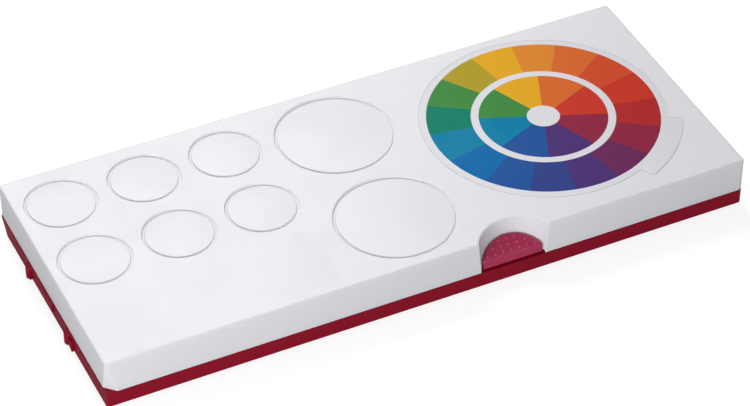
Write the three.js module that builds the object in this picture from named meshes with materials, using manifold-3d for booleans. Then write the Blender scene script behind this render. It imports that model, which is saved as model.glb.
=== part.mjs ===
// A flat school paint box, closed. A shallow tray holds twelve paint pans, a tube of white and
// trays for brushes. A drop-over lid turns on two rear hinges, and its top carries eight mixing
// wells and a round colour guide. A sprung thumb button in the front notch holds the lid shut.
// Millimetres, +X along the case, +Y towards the hinges, +Z up, origin under the case's centre.
import * as THREE from "three";
import { mergeVertices } from "three/addons/utils/BufferGeometryUtils.js";
import Module from "manifold-3d";

const wasm = await Module();
wasm.setup();

// Case
const caseLength = 345;
const caseDepth = 145;
const caseHeight = 28;
const partingHeight = 9;
const partingGap = 0.2;
const cutOverrun = 3;

// Lid shell
const lidWall = 1.8;
const lidTop = 2;
const lidDraft = 0.15;
const lidEdgeRadius = 0.8;
const lidTopCorner = 1.2;
const lidFootCut = 5.4;
const lidTopCut = 0.7;
const lidRightFootCorner = 2.6;
const lidRearFootCorner = 1.6;

// Mixing wells, sunk into the lid's inner face, with a moulded ring around each on the outside
const smallWellRadius = 18.8;
const largeWellRadius = 31.2;
const wellGrooveWidth = 1.5;
const wellGrooveDepth = 1.1;
const wellDomeDrop = 0.5;
const wellCrownDrop = 0.05;
const bowlDepth = 0.7;
const bowlRimHeight = 0.9;
const smallWellLeftInset = 23.4;
const smallWellRearInset = 26.5;
const smallWellPitch = 44.2;
const smallWellRowPitch = 46.4;
const largeWellLeftInset = 168.1;
const largeWellRearInset = 36.8;
const largeWellRowPitch = 71.2;

// Colour guide label and its recess
const labelRadius = 63.8;
const labelTabReach = 7.6;
const labelThickness = 0.4;
const labelRise = 0.2;
const labelClearance = 0.3;
const labelRightInset = 74.8;
const labelFrontInset = 75.2;
const labelTabStart = -67;
const labelTabEnd = -27;

// Finger notch in the lid's front edge
const notchFromCentre = 42.5;
const notchTopRadius = 21.5;
const notchFootRadius = 20;
const notchSetback = 9.3;
const notchWall = 1.8;
const notchFootRise = 1.3;

// Tray
const trayFloor = 2;
const trayDraft = 0.1;
const trayLeftStand = 0.5;
const trayRearSlope = 3;
const trayFrontCorner = 1;
const trayRightCorner = 2;
const trayRearTopCorner = 1.4;
const trayRearFootCorner = 5;
const trayFootChamfer = 0.5;
const lipHeight = 5;
const lipClearance = 0.45;
const lipThickness = 1.4;
const lipFrontCorner = 5.8;
const cavityFrontCorner = 4;
const ribThickness = 1.6;
const frontTrayDepth = 24;

// Paint pans and their cakes
const panPitch = 36.5;
const panLedge = 1.3;
const panFlange = 1.2;
const panFlangeGap = 0.6;
const panBodyClearance = 0.75;
const panTaper = 1.5;
const panFloorClearance = 0.3;
const panFloor = 1.5;
const panCorner = 4;
const panFootCorner = 3;
const panMouthRadius = 15;
const panFootRadius = 13.4;
const cakeClearance = 0.3;
const cakeTopDrop = 2.6;
const cakeBevel = 1.3;
const cakeDish = 0.5;

// Tube of white paint and its cap
const tubeBayDepth = 35;
const tubeRadius = 9.5;
const tubeBodyLength = 74;
const tubeCrimpWidth = 29;
const tubeCrimpLength = 6;
const tubeCrimpThickness = 1.6;
const tubeShoulder = 3.5;
const tubeNeckRadius = 4;
const tubeNeckLength = 7;
const tubeFloorLift = 1.2;
const tubeEndClearance = 6;
const saddleClearance = 0.4;
const saddleDrop = 2.5;
const capRadius = 6.6;
const capTipRadius = 5.8;
const capLength = 13;
const capClearance = 0.3;
const capFluteDepth = 0.4;

// Rear hinges: pins moulded on the lid's ears snap into slotted knuckles on the tray
const hingeFromCentre = 105;
const hingeBehindFace = 0.5;
const hingeBelowParting = 3;
const barrelRadius = 2.4;
const hingePinRadius = 1.2;
const hingePinClearance = 0.25;
const hingePinReach = 6;
const earWidth = 12;
const earRise = 3.4;
const knuckleWidth = 8;
const hingeSideGap = 0.4;
const knuckleSlot = 2;
const knuckleSlotLean = 45;
const earPocketClearance = 0.3;

// Thumb button: a rocker on a steel pin, with a hook that holds the lid's keeper
const buttonGap = 0.8;
const buttonFrontInset = 0.4;
const buttonFrontLean = 0.5;
const buttonFootRise = 1.2;
const buttonFrontTop = 5.6;
const buttonRearDrop = 7.2;
const buttonBrow = 1;
const buttonSkin = 1.7;
const pipRadius = 1.05;
const pipTipRadius = 0.7;
const pipHeight = 0.55;
const pipPitch = 4.35;
const pipRowPitch = 2.9;
const pipFrontInset = 2.3;
const armSpread = 8;
const armThickness = 2.4;
const armDepth = 2.6;
const armFromFront = 4.2;
const armBridge = 2.8;
const pivotFromFront = 16.5;
const pivotHeight = 5.6;
const pivotPinRadius = 1.2;
const pivotPinClearance = 0.2;
const pivotHubRadius = 2.6;
const pivotHubHalf = 10.4;
const hookHalfWidth = 9.2;
const hookThickness = 2;
const hookFromPivot = 1.2;
const hookTop = 17.6;
const noseReach = 0.7;
const noseHeight = 2.2;
const noseGap = 0.3;
const postGap = 0.6;
const postThickness = 3;
const postHalfDepth = 3;
const postCrown = 2.8;
const chamberHalf = 22;

// Lid keeper, behind the hook
const keeperThickness = 1.6;
const keeperBarb = 1.2;
const keeperBarbHeight = 1.5;

// Return spring under the button
const springMeanRadius = 1.9;
const springWire = 0.7;
const springFromFront = 6;
const springFootGap = 0.3;
const springTopGap = 0.5;
const springBossClearance = 0.4;
const springBossHeight = 2.2;

// Docking catches on the tray's left end, for a clip-on cup
const dockFromCentre = 4;
const dockSpread = 26.5;
const dockHookLength = 5.2;
const dockLongHookLength = 10;
const dockHookRootReach = 0.5;
const dockHookTipReach = 1.5;
const dockHookFoot = 1.2;
const dockHookTop = 6;
const dockKnobRadius = 2.6;
const dockKnobTop = 8.7;
const dockLedgeFromCentre = 4.9;
const dockLedgeLength = 15;
const dockLedgeReach = 1.1;
const dockLedgeDrop = 4;

// Counts
const smallWellColumns = 3;
const wellRows = 2;
const panColumns = 6;
const panRows = 2;
const pipRowCounts = [7, 5, 3];
const springTurns = 7;
const springStepsPerTurn = 10;
const springWireSides = 5;
const capFlutes = 16;
const caseCornerSteps = 4;
const panCornerSteps = 2;
const lidEdgeSteps = 3;
const barrelArcSteps = 9;
const smallWellSides = 28;
const largeWellSides = 40;
const labelSides = 44;
const notchSides = 48;
const saddleSides = 32;
const roundSides = 24;
const hubSides = 20;
const boreSides = 16;
const rodSides = 12;
const pipSides = 8;

// Levels and half sizes that several pieces share
const halfLength = caseLength / 2;
const halfDepth = caseDepth / 2;
const rimTop = partingHeight - partingGap;
const lipTop = partingHeight + lipHeight;
const ribTop = lipTop - panFlange;
const lidInnerTop = caseHeight - lidTop;
const lidFootReach = lidDraft - lidWall;
const lipReach = lidFootReach - lipClearance;
const cavityHalfLength = halfLength + lipReach - lipThickness;
const cavityHalfDepth = halfDepth + lipReach - lipThickness;
const hingeY = halfDepth + hingeBehindFace;
const hingeZ = partingHeight - hingeBelowParting;
const notchY = -halfDepth - notchSetback;
const frontRibY = -cavityHalfDepth + frontTrayDepth;
const pivotY = -halfDepth + pivotFromFront;
const buttonFront = -halfDepth + buttonFrontInset;
const buttonBack = notchY + notchTopRadius;
const buttonTopRise = caseHeight - buttonRearDrop - partingHeight - buttonFrontTop;
const springY = -halfDepth + springFromFront;
const panColumnX = -cavityHalfLength + panLedge + (panPitch - ribThickness) / 2;
const panRowY = cavityHalfDepth - panLedge - (panPitch - ribThickness) / 2;
const panEndRibX = panColumnX + (panColumns - 1 / 2) * panPitch;
const panFrontRibY = panRowY - (panRows - 1 / 2) * panPitch;
const tubeRibY = cavityHalfDepth - tubeBayDepth - ribThickness / 2;
const tubeAxisZ = trayFloor + tubeFloorLift + tubeRadius;
const tubeAxisY = cavityHalfDepth - tubeBayDepth / 2;
const tubeStartX = panEndRibX + ribThickness / 2 + tubeEndClearance;

// Turns a closed three.js geometry into a solid that can be joined and cut
function asSolid(geometry) {
  geometry.deleteAttribute("normal");
  geometry.deleteAttribute("uv");
  const merged = mergeVertices(geometry);
  const vertProperties = Float32Array.from(merged.attributes.position.array);
  const triVerts = Uint32Array.from(merged.index.array);
  if (signedVolume(vertProperties, triVerts) < 0) {
    for (let i = 0; i < triVerts.length; i += 3) {
      [triVerts[i], triVerts[i + 1]] = [triVerts[i + 1], triVerts[i]];
    }
  }
  return new wasm.Manifold(new wasm.Mesh({ numProp: 3, vertProperties, triVerts }));
}

// Six times the enclosed volume, below zero when the faces point inwards
function signedVolume(vertices, triangles) {
  const a = new THREE.Vector3();
  const b = new THREE.Vector3();
  const c = new THREE.Vector3();
  let sum = 0;
  for (let i = 0; i < triangles.length; i += 3) {
    a.fromArray(vertices, triangles[i] * 3);
    b.fromArray(vertices, triangles[i + 1] * 3);
    c.fromArray(vertices, triangles[i + 2] * 3);
    sum += a.dot(b.cross(c));
  }
  return sum;
}

// Makes the named mesh of one sub-part from its finished solid
function piece(name, solid, material) {
  const { vertProperties, triVerts } = solid.getMesh();
  const geometry = new THREE.BufferGeometry();
  geometry.setAttribute("position", new THREE.BufferAttribute(vertProperties, 3));
  geometry.setIndex(new THREE.BufferAttribute(triVerts, 1));
  geometry.computeVertexNormals();
  const mesh = new THREE.Mesh(geometry, material);
  mesh.name = name;
  return mesh;
}

// Skins a stack of rings with equal point counts, and closes both ends with a fan
function skinRings(rings) {
  const count = rings[0].length;
  const positions = [];
  const index = [];
  for (const ring of rings) {
    for (const point of ring) {
      positions.push(point.x, point.y, point.z);
    }
  }
  for (let level = 0; level + 1 < rings.length; level++) {
    for (let i = 0; i < count; i++) {
      const a = level * count + i;
      const b = level * count + ((i + 1) % count);
      index.push(a, b, b + count, a, b + count, a + count);
    }
  }
  for (const [level, turned] of [[0, true], [rings.length - 1, false]]) {
    const centre = new THREE.Vector3();
    rings[level].forEach((point) => centre.addScaledVector(point, 1 / count));
    const hub = positions.length / 3;
    positions.push(centre.x, centre.y, centre.z);
    for (let i = 0; i < count; i++) {
      const a = level * count + i;
      const b = level * count + ((i + 1) % count);
      index.push(hub, turned ? b : a, turned ? a : b);
    }
  }
  const geometry = new THREE.BufferGeometry();
  geometry.setAttribute("position", new THREE.Float32BufferAttribute(positions, 3));
  geometry.setIndex(index);
  return asSolid(geometry);
}

// One level of a rounded box from its four sides and corner radii; leftCut cuts one corner straight
function roundedRing(level, steps) {
  const { z, left, right, front, rear, frontCorner, rearCorner, leftCut } = level;
  const rightCorner = level.rightCorner ?? frontCorner;
  const corners = [
    [right - rearCorner, rear - rearCorner, rearCorner, 0],
    [left + rearCorner, rear - rearCorner, rearCorner, 1],
    [left + frontCorner, front + frontCorner, frontCorner, 2],
    [right - rightCorner, front + rightCorner, rightCorner, 3],
  ];
  const ring = [];
  for (const [x, y, radius, quarter] of corners) {
    for (let i = 0; i <= steps; i++) {
      const share = i / steps;
      const angle = ((quarter + share) * Math.PI) / 2;
      const isCut = leftCut !== undefined && quarter === 2;
      const across = isCut ? left + leftCut * share : x + radius * Math.cos(angle);
      const along = isCut ? front + leftCut * (1 - share) : y + radius * Math.sin(angle);
      ring.push(new THREE.Vector3(across, along, z));
    }
  }
  return ring;
}

// A rounded box with sides that may lean, from one level description per height
function roundedBox(levels, steps) {
  return skinRings(levels.map((level) => roundedRing(level, steps)));
}

// A level whose four sides stand the same distance inside or outside the case outline
function caseLevel(z, reach, frontCorner, rearCorner, rightCorner) {
  return {
    z,
    left: -halfLength - reach,
    right: halfLength + reach,
    front: -halfDepth - reach,
    rear: halfDepth + reach,
    frontCorner,
    rearCorner,
    rightCorner,
  };
}

// A square level around the origin
function squareLevel(z, half, corner) {
  return { z, left: -half, right: half, front: -half, rear: half, frontCorner: corner, rearCorner: corner };
}

// A plain block between two corners
function block(x0, x1, y0, y1, z0, z1) {
  const geometry = new THREE.BoxGeometry(x1 - x0, y1 - y0, z1 - z0);
  geometry.translate((x0 + x1) / 2, (y0 + y1) / 2, (z0 + z1) / 2);
  return asSolid(geometry);
}

// A round piece about the Z axis from a radius and height profile that starts and ends on the axis
function turned(profile, sides) {
  const points = profile.map(([radius, height]) => new THREE.Vector2(radius, height));
  const geometry = new THREE.LatheGeometry(points, sides);
  geometry.rotateX(Math.PI / 2);
  return asSolid(geometry);
}

// A cylinder along X
function rodAlongX(radius, x0, x1, y, z, sides) {
  const geometry = new THREE.CylinderGeometry(radius, radius, x1 - x0, sides);
  geometry.rotateZ(Math.PI / 2);
  geometry.translate((x0 + x1) / 2, y, z);
  return asSolid(geometry);
}

// A plate along X from a side-view outline given in Y and Z
function plateAlongX(outline, x0, x1) {
  const shape = new THREE.Shape(outline.map(([y, z]) => new THREE.Vector2(y, z)));
  const geometry = new THREE.ExtrudeGeometry(shape, { depth: x1 - x0, bevelEnabled: false });
  const basis = new THREE.Matrix4().makeBasis(
    new THREE.Vector3(0, 1, 0),
    new THREE.Vector3(0, 0, 1),
    new THREE.Vector3(1, 0, 0),
  );
  geometry.applyMatrix4(basis);
  geometry.translate(x0, 0, 0);
  return asSolid(geometry);
}

// A plate along Z from a top-view shape
function plateAlongZ(shape, z0, z1) {
  const geometry = new THREE.ExtrudeGeometry(shape, { depth: z1 - z0, bevelEnabled: false });
  geometry.translate(0, 0, z0);
  return asSolid(geometry);
}

// Radius of the finger notch at a height: it narrows towards the tray
function notchRadiusAt(z) {
  const share = (z - partingHeight) / (caseHeight - partingHeight);
  return notchFootRadius + (notchTopRadius - notchFootRadius) * share;
}

// The notch's cone between two heights, grown by a distance
function notchCone(z0, z1, grow) {
  const profile = [[0, z0], [notchRadiusAt(z0) + grow, z0], [notchRadiusAt(z1) + grow, z1], [0, z1]];
  return turned(profile, notchSides).translate([notchFromCentre, notchY, 0]);
}

// Centres of the mixing wells, from their insets and pitches
function wellPlaces() {
  const places = [];
  for (let row = 0; row < wellRows; row++) {
    for (let column = 0; column < smallWellColumns; column++) {
      const x = -halfLength + smallWellLeftInset + column * smallWellPitch;
      const y = halfDepth - smallWellRearInset - row * smallWellRowPitch;
      places.push({ x, y, radius: smallWellRadius, sides: smallWellSides });
    }
    const y = halfDepth - largeWellRearInset - row * largeWellRowPitch;
    places.push({ x: -halfLength + largeWellLeftInset, y, radius: largeWellRadius, sides: largeWellSides });
  }
  return places;
}

// What one well takes out of the lid's outer face: a ring groove around a low dome
function wellRingCut(radius, sides) {
  const inner = radius - wellGrooveWidth;
  const floor = caseHeight - wellGrooveDepth;
  const crown = caseHeight - wellCrownDrop;
  const domeShare = 0.6;
  const domeFall = (wellDomeDrop - wellCrownDrop) * domeShare ** 2;
  return turned([
    [0, caseHeight + cutOverrun],
    [radius, caseHeight + cutOverrun],
    [radius, floor],
    [(radius + inner) / 2, floor],
    [inner, caseHeight - wellDomeDrop],
    [inner * domeShare, crown - domeFall],
    [0, crown],
  ].reverse(), sides);
}

// The raised ring around one well on the lid's inner face
function bowlRim(radius, sides) {
  const foot = lidInnerTop - bowlRimHeight;
  const embed = lidTop / 4;
  return turned([[0, foot], [radius, foot], [radius, lidInnerTop + embed], [0, lidInnerTop + embed]], sides);
}

// The hollow of one well in the lid's inner face
function bowlCut(radius, sides) {
  const inner = radius - wellGrooveWidth;
  const foot = lidInnerTop - bowlRimHeight - cutOverrun;
  const wallShare = 0.94;
  return turned([
    [0, foot],
    [inner, foot],
    [inner, lidInnerTop - bowlRimHeight],
    [inner * wallShare, lidInnerTop],
    [inner / 2, lidInnerTop + bowlDepth * (wallShare - 1 / 4)],
    [0, lidInnerTop + bowlDepth],
  ], sides);
}

// Outline of the colour guide about its own centre: a disc with a short outer tab
function labelOutline(grow) {
  const start = THREE.MathUtils.degToRad(labelTabStart);
  const end = THREE.MathUtils.degToRad(labelTabEnd);
  const widen = grow / (labelRadius + labelTabReach);
  const turn = 2 * Math.PI;
  const arc = (radius, from, to) => {
    const steps = Math.ceil((labelSides * (to - from)) / turn);
    return Array.from({ length: steps + 1 }, (_, i) => {
      const angle = from + ((to - from) * i) / steps;
      return new THREE.Vector2(radius * Math.cos(angle), radius * Math.sin(angle));
    });
  };
  return new THREE.Shape([
    ...arc(labelRadius + grow, end + widen, start - widen + turn),
    ...arc(labelRadius + labelTabReach + grow, start - widen, end + widen),
  ]);
}

// Side view of one hinge ear: a barrel that reaches up into the lid's rear wall
function earOutline() {
  const inner = halfDepth + lidFootReach + lidWall / 8;
  const outer = halfDepth + lidDraft - lidWall / 4;
  const points = [[inner, hingeZ], [inner, partingHeight + earRise / 3], [outer, partingHeight + earRise]];
  const blendShare = 0.28;
  for (let i = 0; i <= barrelArcSteps; i++) {
    const angle = (blendShare - (i / barrelArcSteps) * (1 + blendShare)) * Math.PI;
    points.push([hingeY + barrelRadius * Math.cos(angle), hingeZ + barrelRadius * Math.sin(angle)]);
  }
  return points.reverse();
}

// White lid: shell, wells, label recess, finger notch, keeper and hinge ears
function makeLid() {
  const withCut = (level, leftCut) => ({ ...level, leftCut });
  const foot = caseLevel(partingHeight, lidDraft, lidRightFootCorner, lidRearFootCorner);
  const levels = [withCut(foot, lidFootCut)];
  for (let i = 0; i <= lidEdgeSteps; i++) {
    const angle = ((i / lidEdgeSteps) * Math.PI) / 2;
    const z = caseHeight - lidEdgeRadius * (1 - Math.sin(angle));
    const level = caseLevel(z, -lidEdgeRadius * (1 - Math.cos(angle)), lidTopCorner, lidTopCorner);
    levels.push(withCut(level, lidTopCut));
  }
  const outer = roundedBox(levels, caseCornerSteps);
  const innerCorner = lidWall / 3;
  const innerFootCorners = [lidRightFootCorner - lidWall, innerCorner];
  const innerCut = lidFootCut - lidWall;
  const inner = roundedBox([
    withCut(caseLevel(partingHeight - cutOverrun, lidFootReach, ...innerFootCorners), innerCut),
    withCut(caseLevel(partingHeight, lidFootReach, ...innerFootCorners), innerCut),
    withCut(caseLevel(lidInnerTop, -lidWall, innerCorner, innerCorner), innerCorner),
  ], caseCornerSteps);
  let lid = outer.subtract(inner);

  const notchFoot = partingHeight + notchFootRise;
  const wallBlank = notchCone(notchFoot, lidInnerTop + lidTop / 2, notchWall);
  lid = lid.add(wallBlank.intersect(outer));
  lid = lid.subtract(notchCone(partingHeight - cutOverrun, caseHeight + cutOverrun, 0));

  const wells = wellPlaces();
  for (const { x, y, radius, sides } of wells) {
    lid = lid.add(bowlRim(radius, sides).translate([x, y, 0]).intersect(outer));
  }
  for (const { x, y, radius, sides } of wells) {
    lid = lid.subtract(bowlCut(radius, sides).translate([x, y, 0]));
    lid = lid.subtract(wellRingCut(radius, sides).translate([x, y, 0]));
  }

  const recessFloor = caseHeight + labelRise - labelThickness;
  const recess = plateAlongZ(labelOutline(labelClearance), recessFloor, caseHeight + cutOverrun);
  lid = lid.subtract(recess.translate([halfLength - labelRightInset, -halfDepth + labelFrontInset, 0]));

  const noseTipY = pivotY + hookFromPivot + hookThickness / 2 + noseReach;
  const barbTip = noseTipY + noseGap;
  const keeperFront = barbTip + keeperBarb;
  const barbTop = hookTop - noseHeight - noseGap;
  const keeper = plateAlongX([
    [keeperFront, lidInnerTop + lidTop / 2],
    [keeperFront, barbTop],
    [barbTip, barbTop],
    [barbTip, barbTop - keeperBarbHeight / 2],
    [keeperFront, barbTop - keeperBarbHeight],
    [keeperFront + keeperThickness, barbTop - keeperBarbHeight],
    [keeperFront + keeperThickness, lidInnerTop + lidTop / 2],
  ], notchFromCentre - hookHalfWidth, notchFromCentre + hookHalfWidth);
  lid = lid.add(keeper);

  for (const side of [-1, 1]) {
    const x = side * hingeFromCentre;
    const pinHalf = earWidth / 2 + hingePinReach;
    lid = lid.add(plateAlongX(earOutline(), x - earWidth / 2, x + earWidth / 2));
    lid = lid.add(rodAlongX(hingePinRadius, x - pinHalf, x + pinHalf, hingeY, hingeZ, rodSides));
  }
  return lid;
}

// Side view of one tray knuckle: a barrel joined to the sloping rear wall
function knuckleOutline() {
  const root = halfDepth - trayRearSlope - ribThickness / 2;
  const points = [[root, hingeZ - barrelRadius], [root, hingeZ + barrelRadius]];
  for (let i = 0; i <= barrelArcSteps; i++) {
    const angle = (1 / 2 - i / barrelArcSteps) * Math.PI;
    points.push([hingeY + barrelRadius * Math.cos(angle), hingeZ + barrelRadius * Math.sin(angle)]);
  }
  return points.reverse();
}

// Knuckles, bores and slots of one hinge, added to the tray or cut from it
function addHinge(tray, x) {
  const pocketHalf = earWidth / 2 + hingeSideGap;
  const pocketInner = hingeY - barrelRadius - earPocketClearance;
  const pocketFloor = hingeZ - barrelRadius - earPocketClearance;
  const reach = hingeY + barrelRadius + cutOverrun;
  const bore = hingePinRadius + hingePinClearance;
  let result = tray;
  for (const side of [-1, 1]) {
    const near = x + side * pocketHalf;
    const far = near + side * knuckleWidth;
    const left = Math.min(near, far);
    const right = Math.max(near, far);
    const knuckle = plateAlongX(knuckleOutline(), left, right);
    const slot = block(
      left - hingeSideGap,
      right + hingeSideGap,
      -knuckleSlot / 2,
      knuckleSlot / 2,
      0,
      barrelRadius + cutOverrun,
    ).rotate([-knuckleSlotLean, 0, 0]).translate([0, hingeY, hingeZ]);
    const hole = rodAlongX(bore, left - hingeSideGap, right + hingeSideGap, hingeY, hingeZ, boreSides);
    result = result.add(knuckle).subtract(hole).subtract(slot);
  }
  const pocket = block(x - pocketHalf, x + pocketHalf, pocketInner, reach, pocketFloor, rimTop + cutOverrun);
  return result.subtract(pocket);
}

// Catches on the left end: two ramped hooks with round knobs, and the ledge between them
function addDock(tray) {
  const wall = -halfLength - lidDraft - trayLeftStand;
  const root = wall + ribThickness;
  let result = tray;
  for (const [side, length] of [[1, dockHookLength], [-1, dockLongHookLength]]) {
    const rear = dockFromCentre + side * dockSpread + dockKnobRadius;
    const ramp = new THREE.Shape([
      new THREE.Vector2(root, rear),
      new THREE.Vector2(wall - dockHookRootReach, rear),
      new THREE.Vector2(wall - dockHookTipReach, rear - length),
      new THREE.Vector2(root, rear - length),
    ]);
    const knob = turned([
      [0, dockHookFoot],
      [dockKnobRadius, dockHookFoot],
      [dockKnobRadius, dockKnobTop - dockKnobRadius / 2],
      [dockKnobRadius * Math.cos(Math.PI / 6), dockKnobTop - dockKnobRadius / 6],
      [dockKnobRadius / 2, dockKnobTop],
      [0, dockKnobTop],
    ], boreSides);
    result = result.add(plateAlongZ(ramp, dockHookFoot, dockHookTop));
    result = result.add(knob.translate([wall + dockHookRootReach / 2, rear - dockKnobRadius, 0]));
  }
  return result.add(block(
    wall - dockLedgeReach,
    root,
    dockLedgeFromCentre - dockLedgeLength / 2,
    dockLedgeFromCentre + dockLedgeLength / 2,
    rimTop - dockLedgeDrop,
    rimTop,
  ));
}

// Ribs of the pan bays and the long trays, all standing on the tray's floor
function trayRibs() {
  const half = ribThickness / 2;
  const embed = lipThickness / 2;
  const left = -cavityHalfLength - embed;
  const right = cavityHalfLength + embed;
  const front = -cavityHalfDepth - embed;
  const rear = cavityHalfDepth + embed;
  const base = trayFloor - trayFootChamfer;
  const alongX = (y, x0, x1) => block(x0, x1, y - half, y + half, base, ribTop);
  const alongY = (x, y0, y1) => block(x - half, x + half, y0, y1, base, ribTop);
  const ribs = [
    alongX(frontRibY, left, right),
    alongX(panFrontRibY, left, right),
    alongX(tubeRibY, panEndRibX, right),
    alongY(notchFromCentre - chamberHalf, front, frontRibY),
    alongY(notchFromCentre + chamberHalf, front, frontRibY),
    block(left, -cavityHalfLength + panLedge, panFrontRibY, rear, base, ribTop),
    block(left, panEndRibX, cavityHalfDepth - panLedge, rear, base, ribTop),
  ];
  for (let row = 1; row < panRows; row++) {
    ribs.push(alongX(panRowY - (row - 1 / 2) * panPitch, left, panEndRibX));
  }
  for (let column = 1; column <= panColumns; column++) {
    ribs.push(alongY(panColumnX + (column - 1 / 2) * panPitch, panFrontRibY, rear));
  }
  const inside = block(left, right, front, rear, base, ribTop);
  const saddleTop = tubeAxisZ - saddleDrop;
  const saddleShares = [0.56, 0.9];
  for (const share of saddleShares) {
    const x = tubeStartX + share * tubeBodyLength;
    const saddle = block(x - half, x + half, tubeRibY, rear, base, saddleTop);
    const seatRadius = tubeRadius + saddleClearance;
    const seat = rodAlongX(
      seatRadius,
      x - ribThickness,
      x + ribThickness,
      tubeAxisY,
      tubeAxisZ,
      saddleSides,
    );
    ribs.push(saddle.subtract(seat).intersect(inside));
  }
  return ribs;
}

// Pivot posts and the spring's boss, inside the button's chamber
function buttonSeats() {
  const base = trayFloor - trayFootChamfer;
  const crown = pivotHeight + postCrown;
  const seats = [];
  for (const side of [-1, 1]) {
    const near = notchFromCentre + side * (pivotHubHalf + postGap);
    const far = near + side * postThickness;
    const low = Math.min(near, far);
    const high = Math.max(near, far);
    const post = block(low, high, pivotY - postHalfDepth, pivotY + postHalfDepth, base, crown);
    const boreRadius = pivotPinRadius + pivotPinClearance;
    const bore = rodAlongX(boreRadius, low - cutOverrun, high + cutOverrun, pivotY, pivotHeight, boreSides);
    seats.push(post.subtract(bore));
  }
  const bossRadius = springMeanRadius - springWire / 2 - springBossClearance;
  const bossTop = trayFloor + springBossHeight;
  const boss = turned([[0, base], [bossRadius, base], [bossRadius, bossTop], [0, bossTop]], rodSides);
  seats.push(boss.translate([notchFromCentre, springY, 0]));
  return seats;
}

// Crimson tray: drafted shell, inner locating lip, ribs, hinge knuckles and docking catches
function makeTray() {
  const footReach = lidDraft - trayDraft;
  const shellLevel = (level, share) => ({
    ...level,
    left: level.left - trayLeftStand,
    rear: level.rear - trayRearSlope * share,
  });
  const chamferShare = 1 - trayFootChamfer / rimTop;
  const footCorners = [trayFrontCorner, trayRearFootCorner, trayRightCorner];
  let tray = roundedBox([
    shellLevel(caseLevel(0, footReach - trayFootChamfer, ...footCorners), 1),
    shellLevel(caseLevel(trayFootChamfer, footReach, ...footCorners), chamferShare),
    shellLevel(caseLevel(rimTop, lidDraft, trayFrontCorner, trayRearTopCorner, trayRightCorner), 0),
  ], caseCornerSteps);
  tray = tray.add(roundedBox([
    caseLevel(rimTop - ribThickness, lipReach, lipFrontCorner, trayRearTopCorner),
    caseLevel(lipTop, lipReach, lipFrontCorner, trayRearTopCorner),
  ], caseCornerSteps));

  const cavityReach = lipReach - lipThickness;
  tray = tray.subtract(roundedBox([
    caseLevel(trayFloor, cavityReach, cavityFrontCorner, trayRearTopCorner),
    caseLevel(lipTop + cutOverrun, cavityReach, cavityFrontCorner, trayRearTopCorner),
  ], caseCornerSteps));

  const lipGap = block(
    notchFromCentre - chamberHalf + ribThickness / 2,
    notchFromCentre + chamberHalf - ribThickness / 2,
    -halfDepth - cutOverrun,
    -cavityHalfDepth + lipThickness,
    rimTop,
    lipTop + cutOverrun,
  );
  tray = tray.subtract(lipGap);

  for (const solid of [...trayRibs(), ...buttonSeats()]) {
    tray = tray.add(solid);
  }
  for (const side of [-1, 1]) {
    tray = addHinge(tray, side * hingeFromCentre);
  }
  return addDock(tray);
}

// Height of the button's top, which climbs from its front edge to the back of the notch
function buttonTopAt(y) {
  const share = (y - buttonFront) / (buttonBack - buttonFront);
  return partingHeight + buttonFrontTop + buttonTopRise * share;
}

// Rows of grip pips, each a low cone standing in the button's sloping top
function gripPips() {
  const pips = [];
  pipRowCounts.forEach((count, row) => {
    const y = buttonFront + pipFrontInset + row * pipRowPitch;
    for (let i = 0; i < count; i++) {
      const x = notchFromCentre + (i - (count - 1) / 2) * pipPitch;
      const foot = buttonTopAt(y);
      const pip = turned([
        [0, foot - pipHeight],
        [pipRadius, foot - pipHeight],
        [pipRadius, foot],
        [pipTipRadius, foot + pipHeight],
        [0, foot + pipHeight],
      ], pipSides);
      pips.push(pip.translate([x, y, 0]));
    }
  });
  return pips;
}

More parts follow.
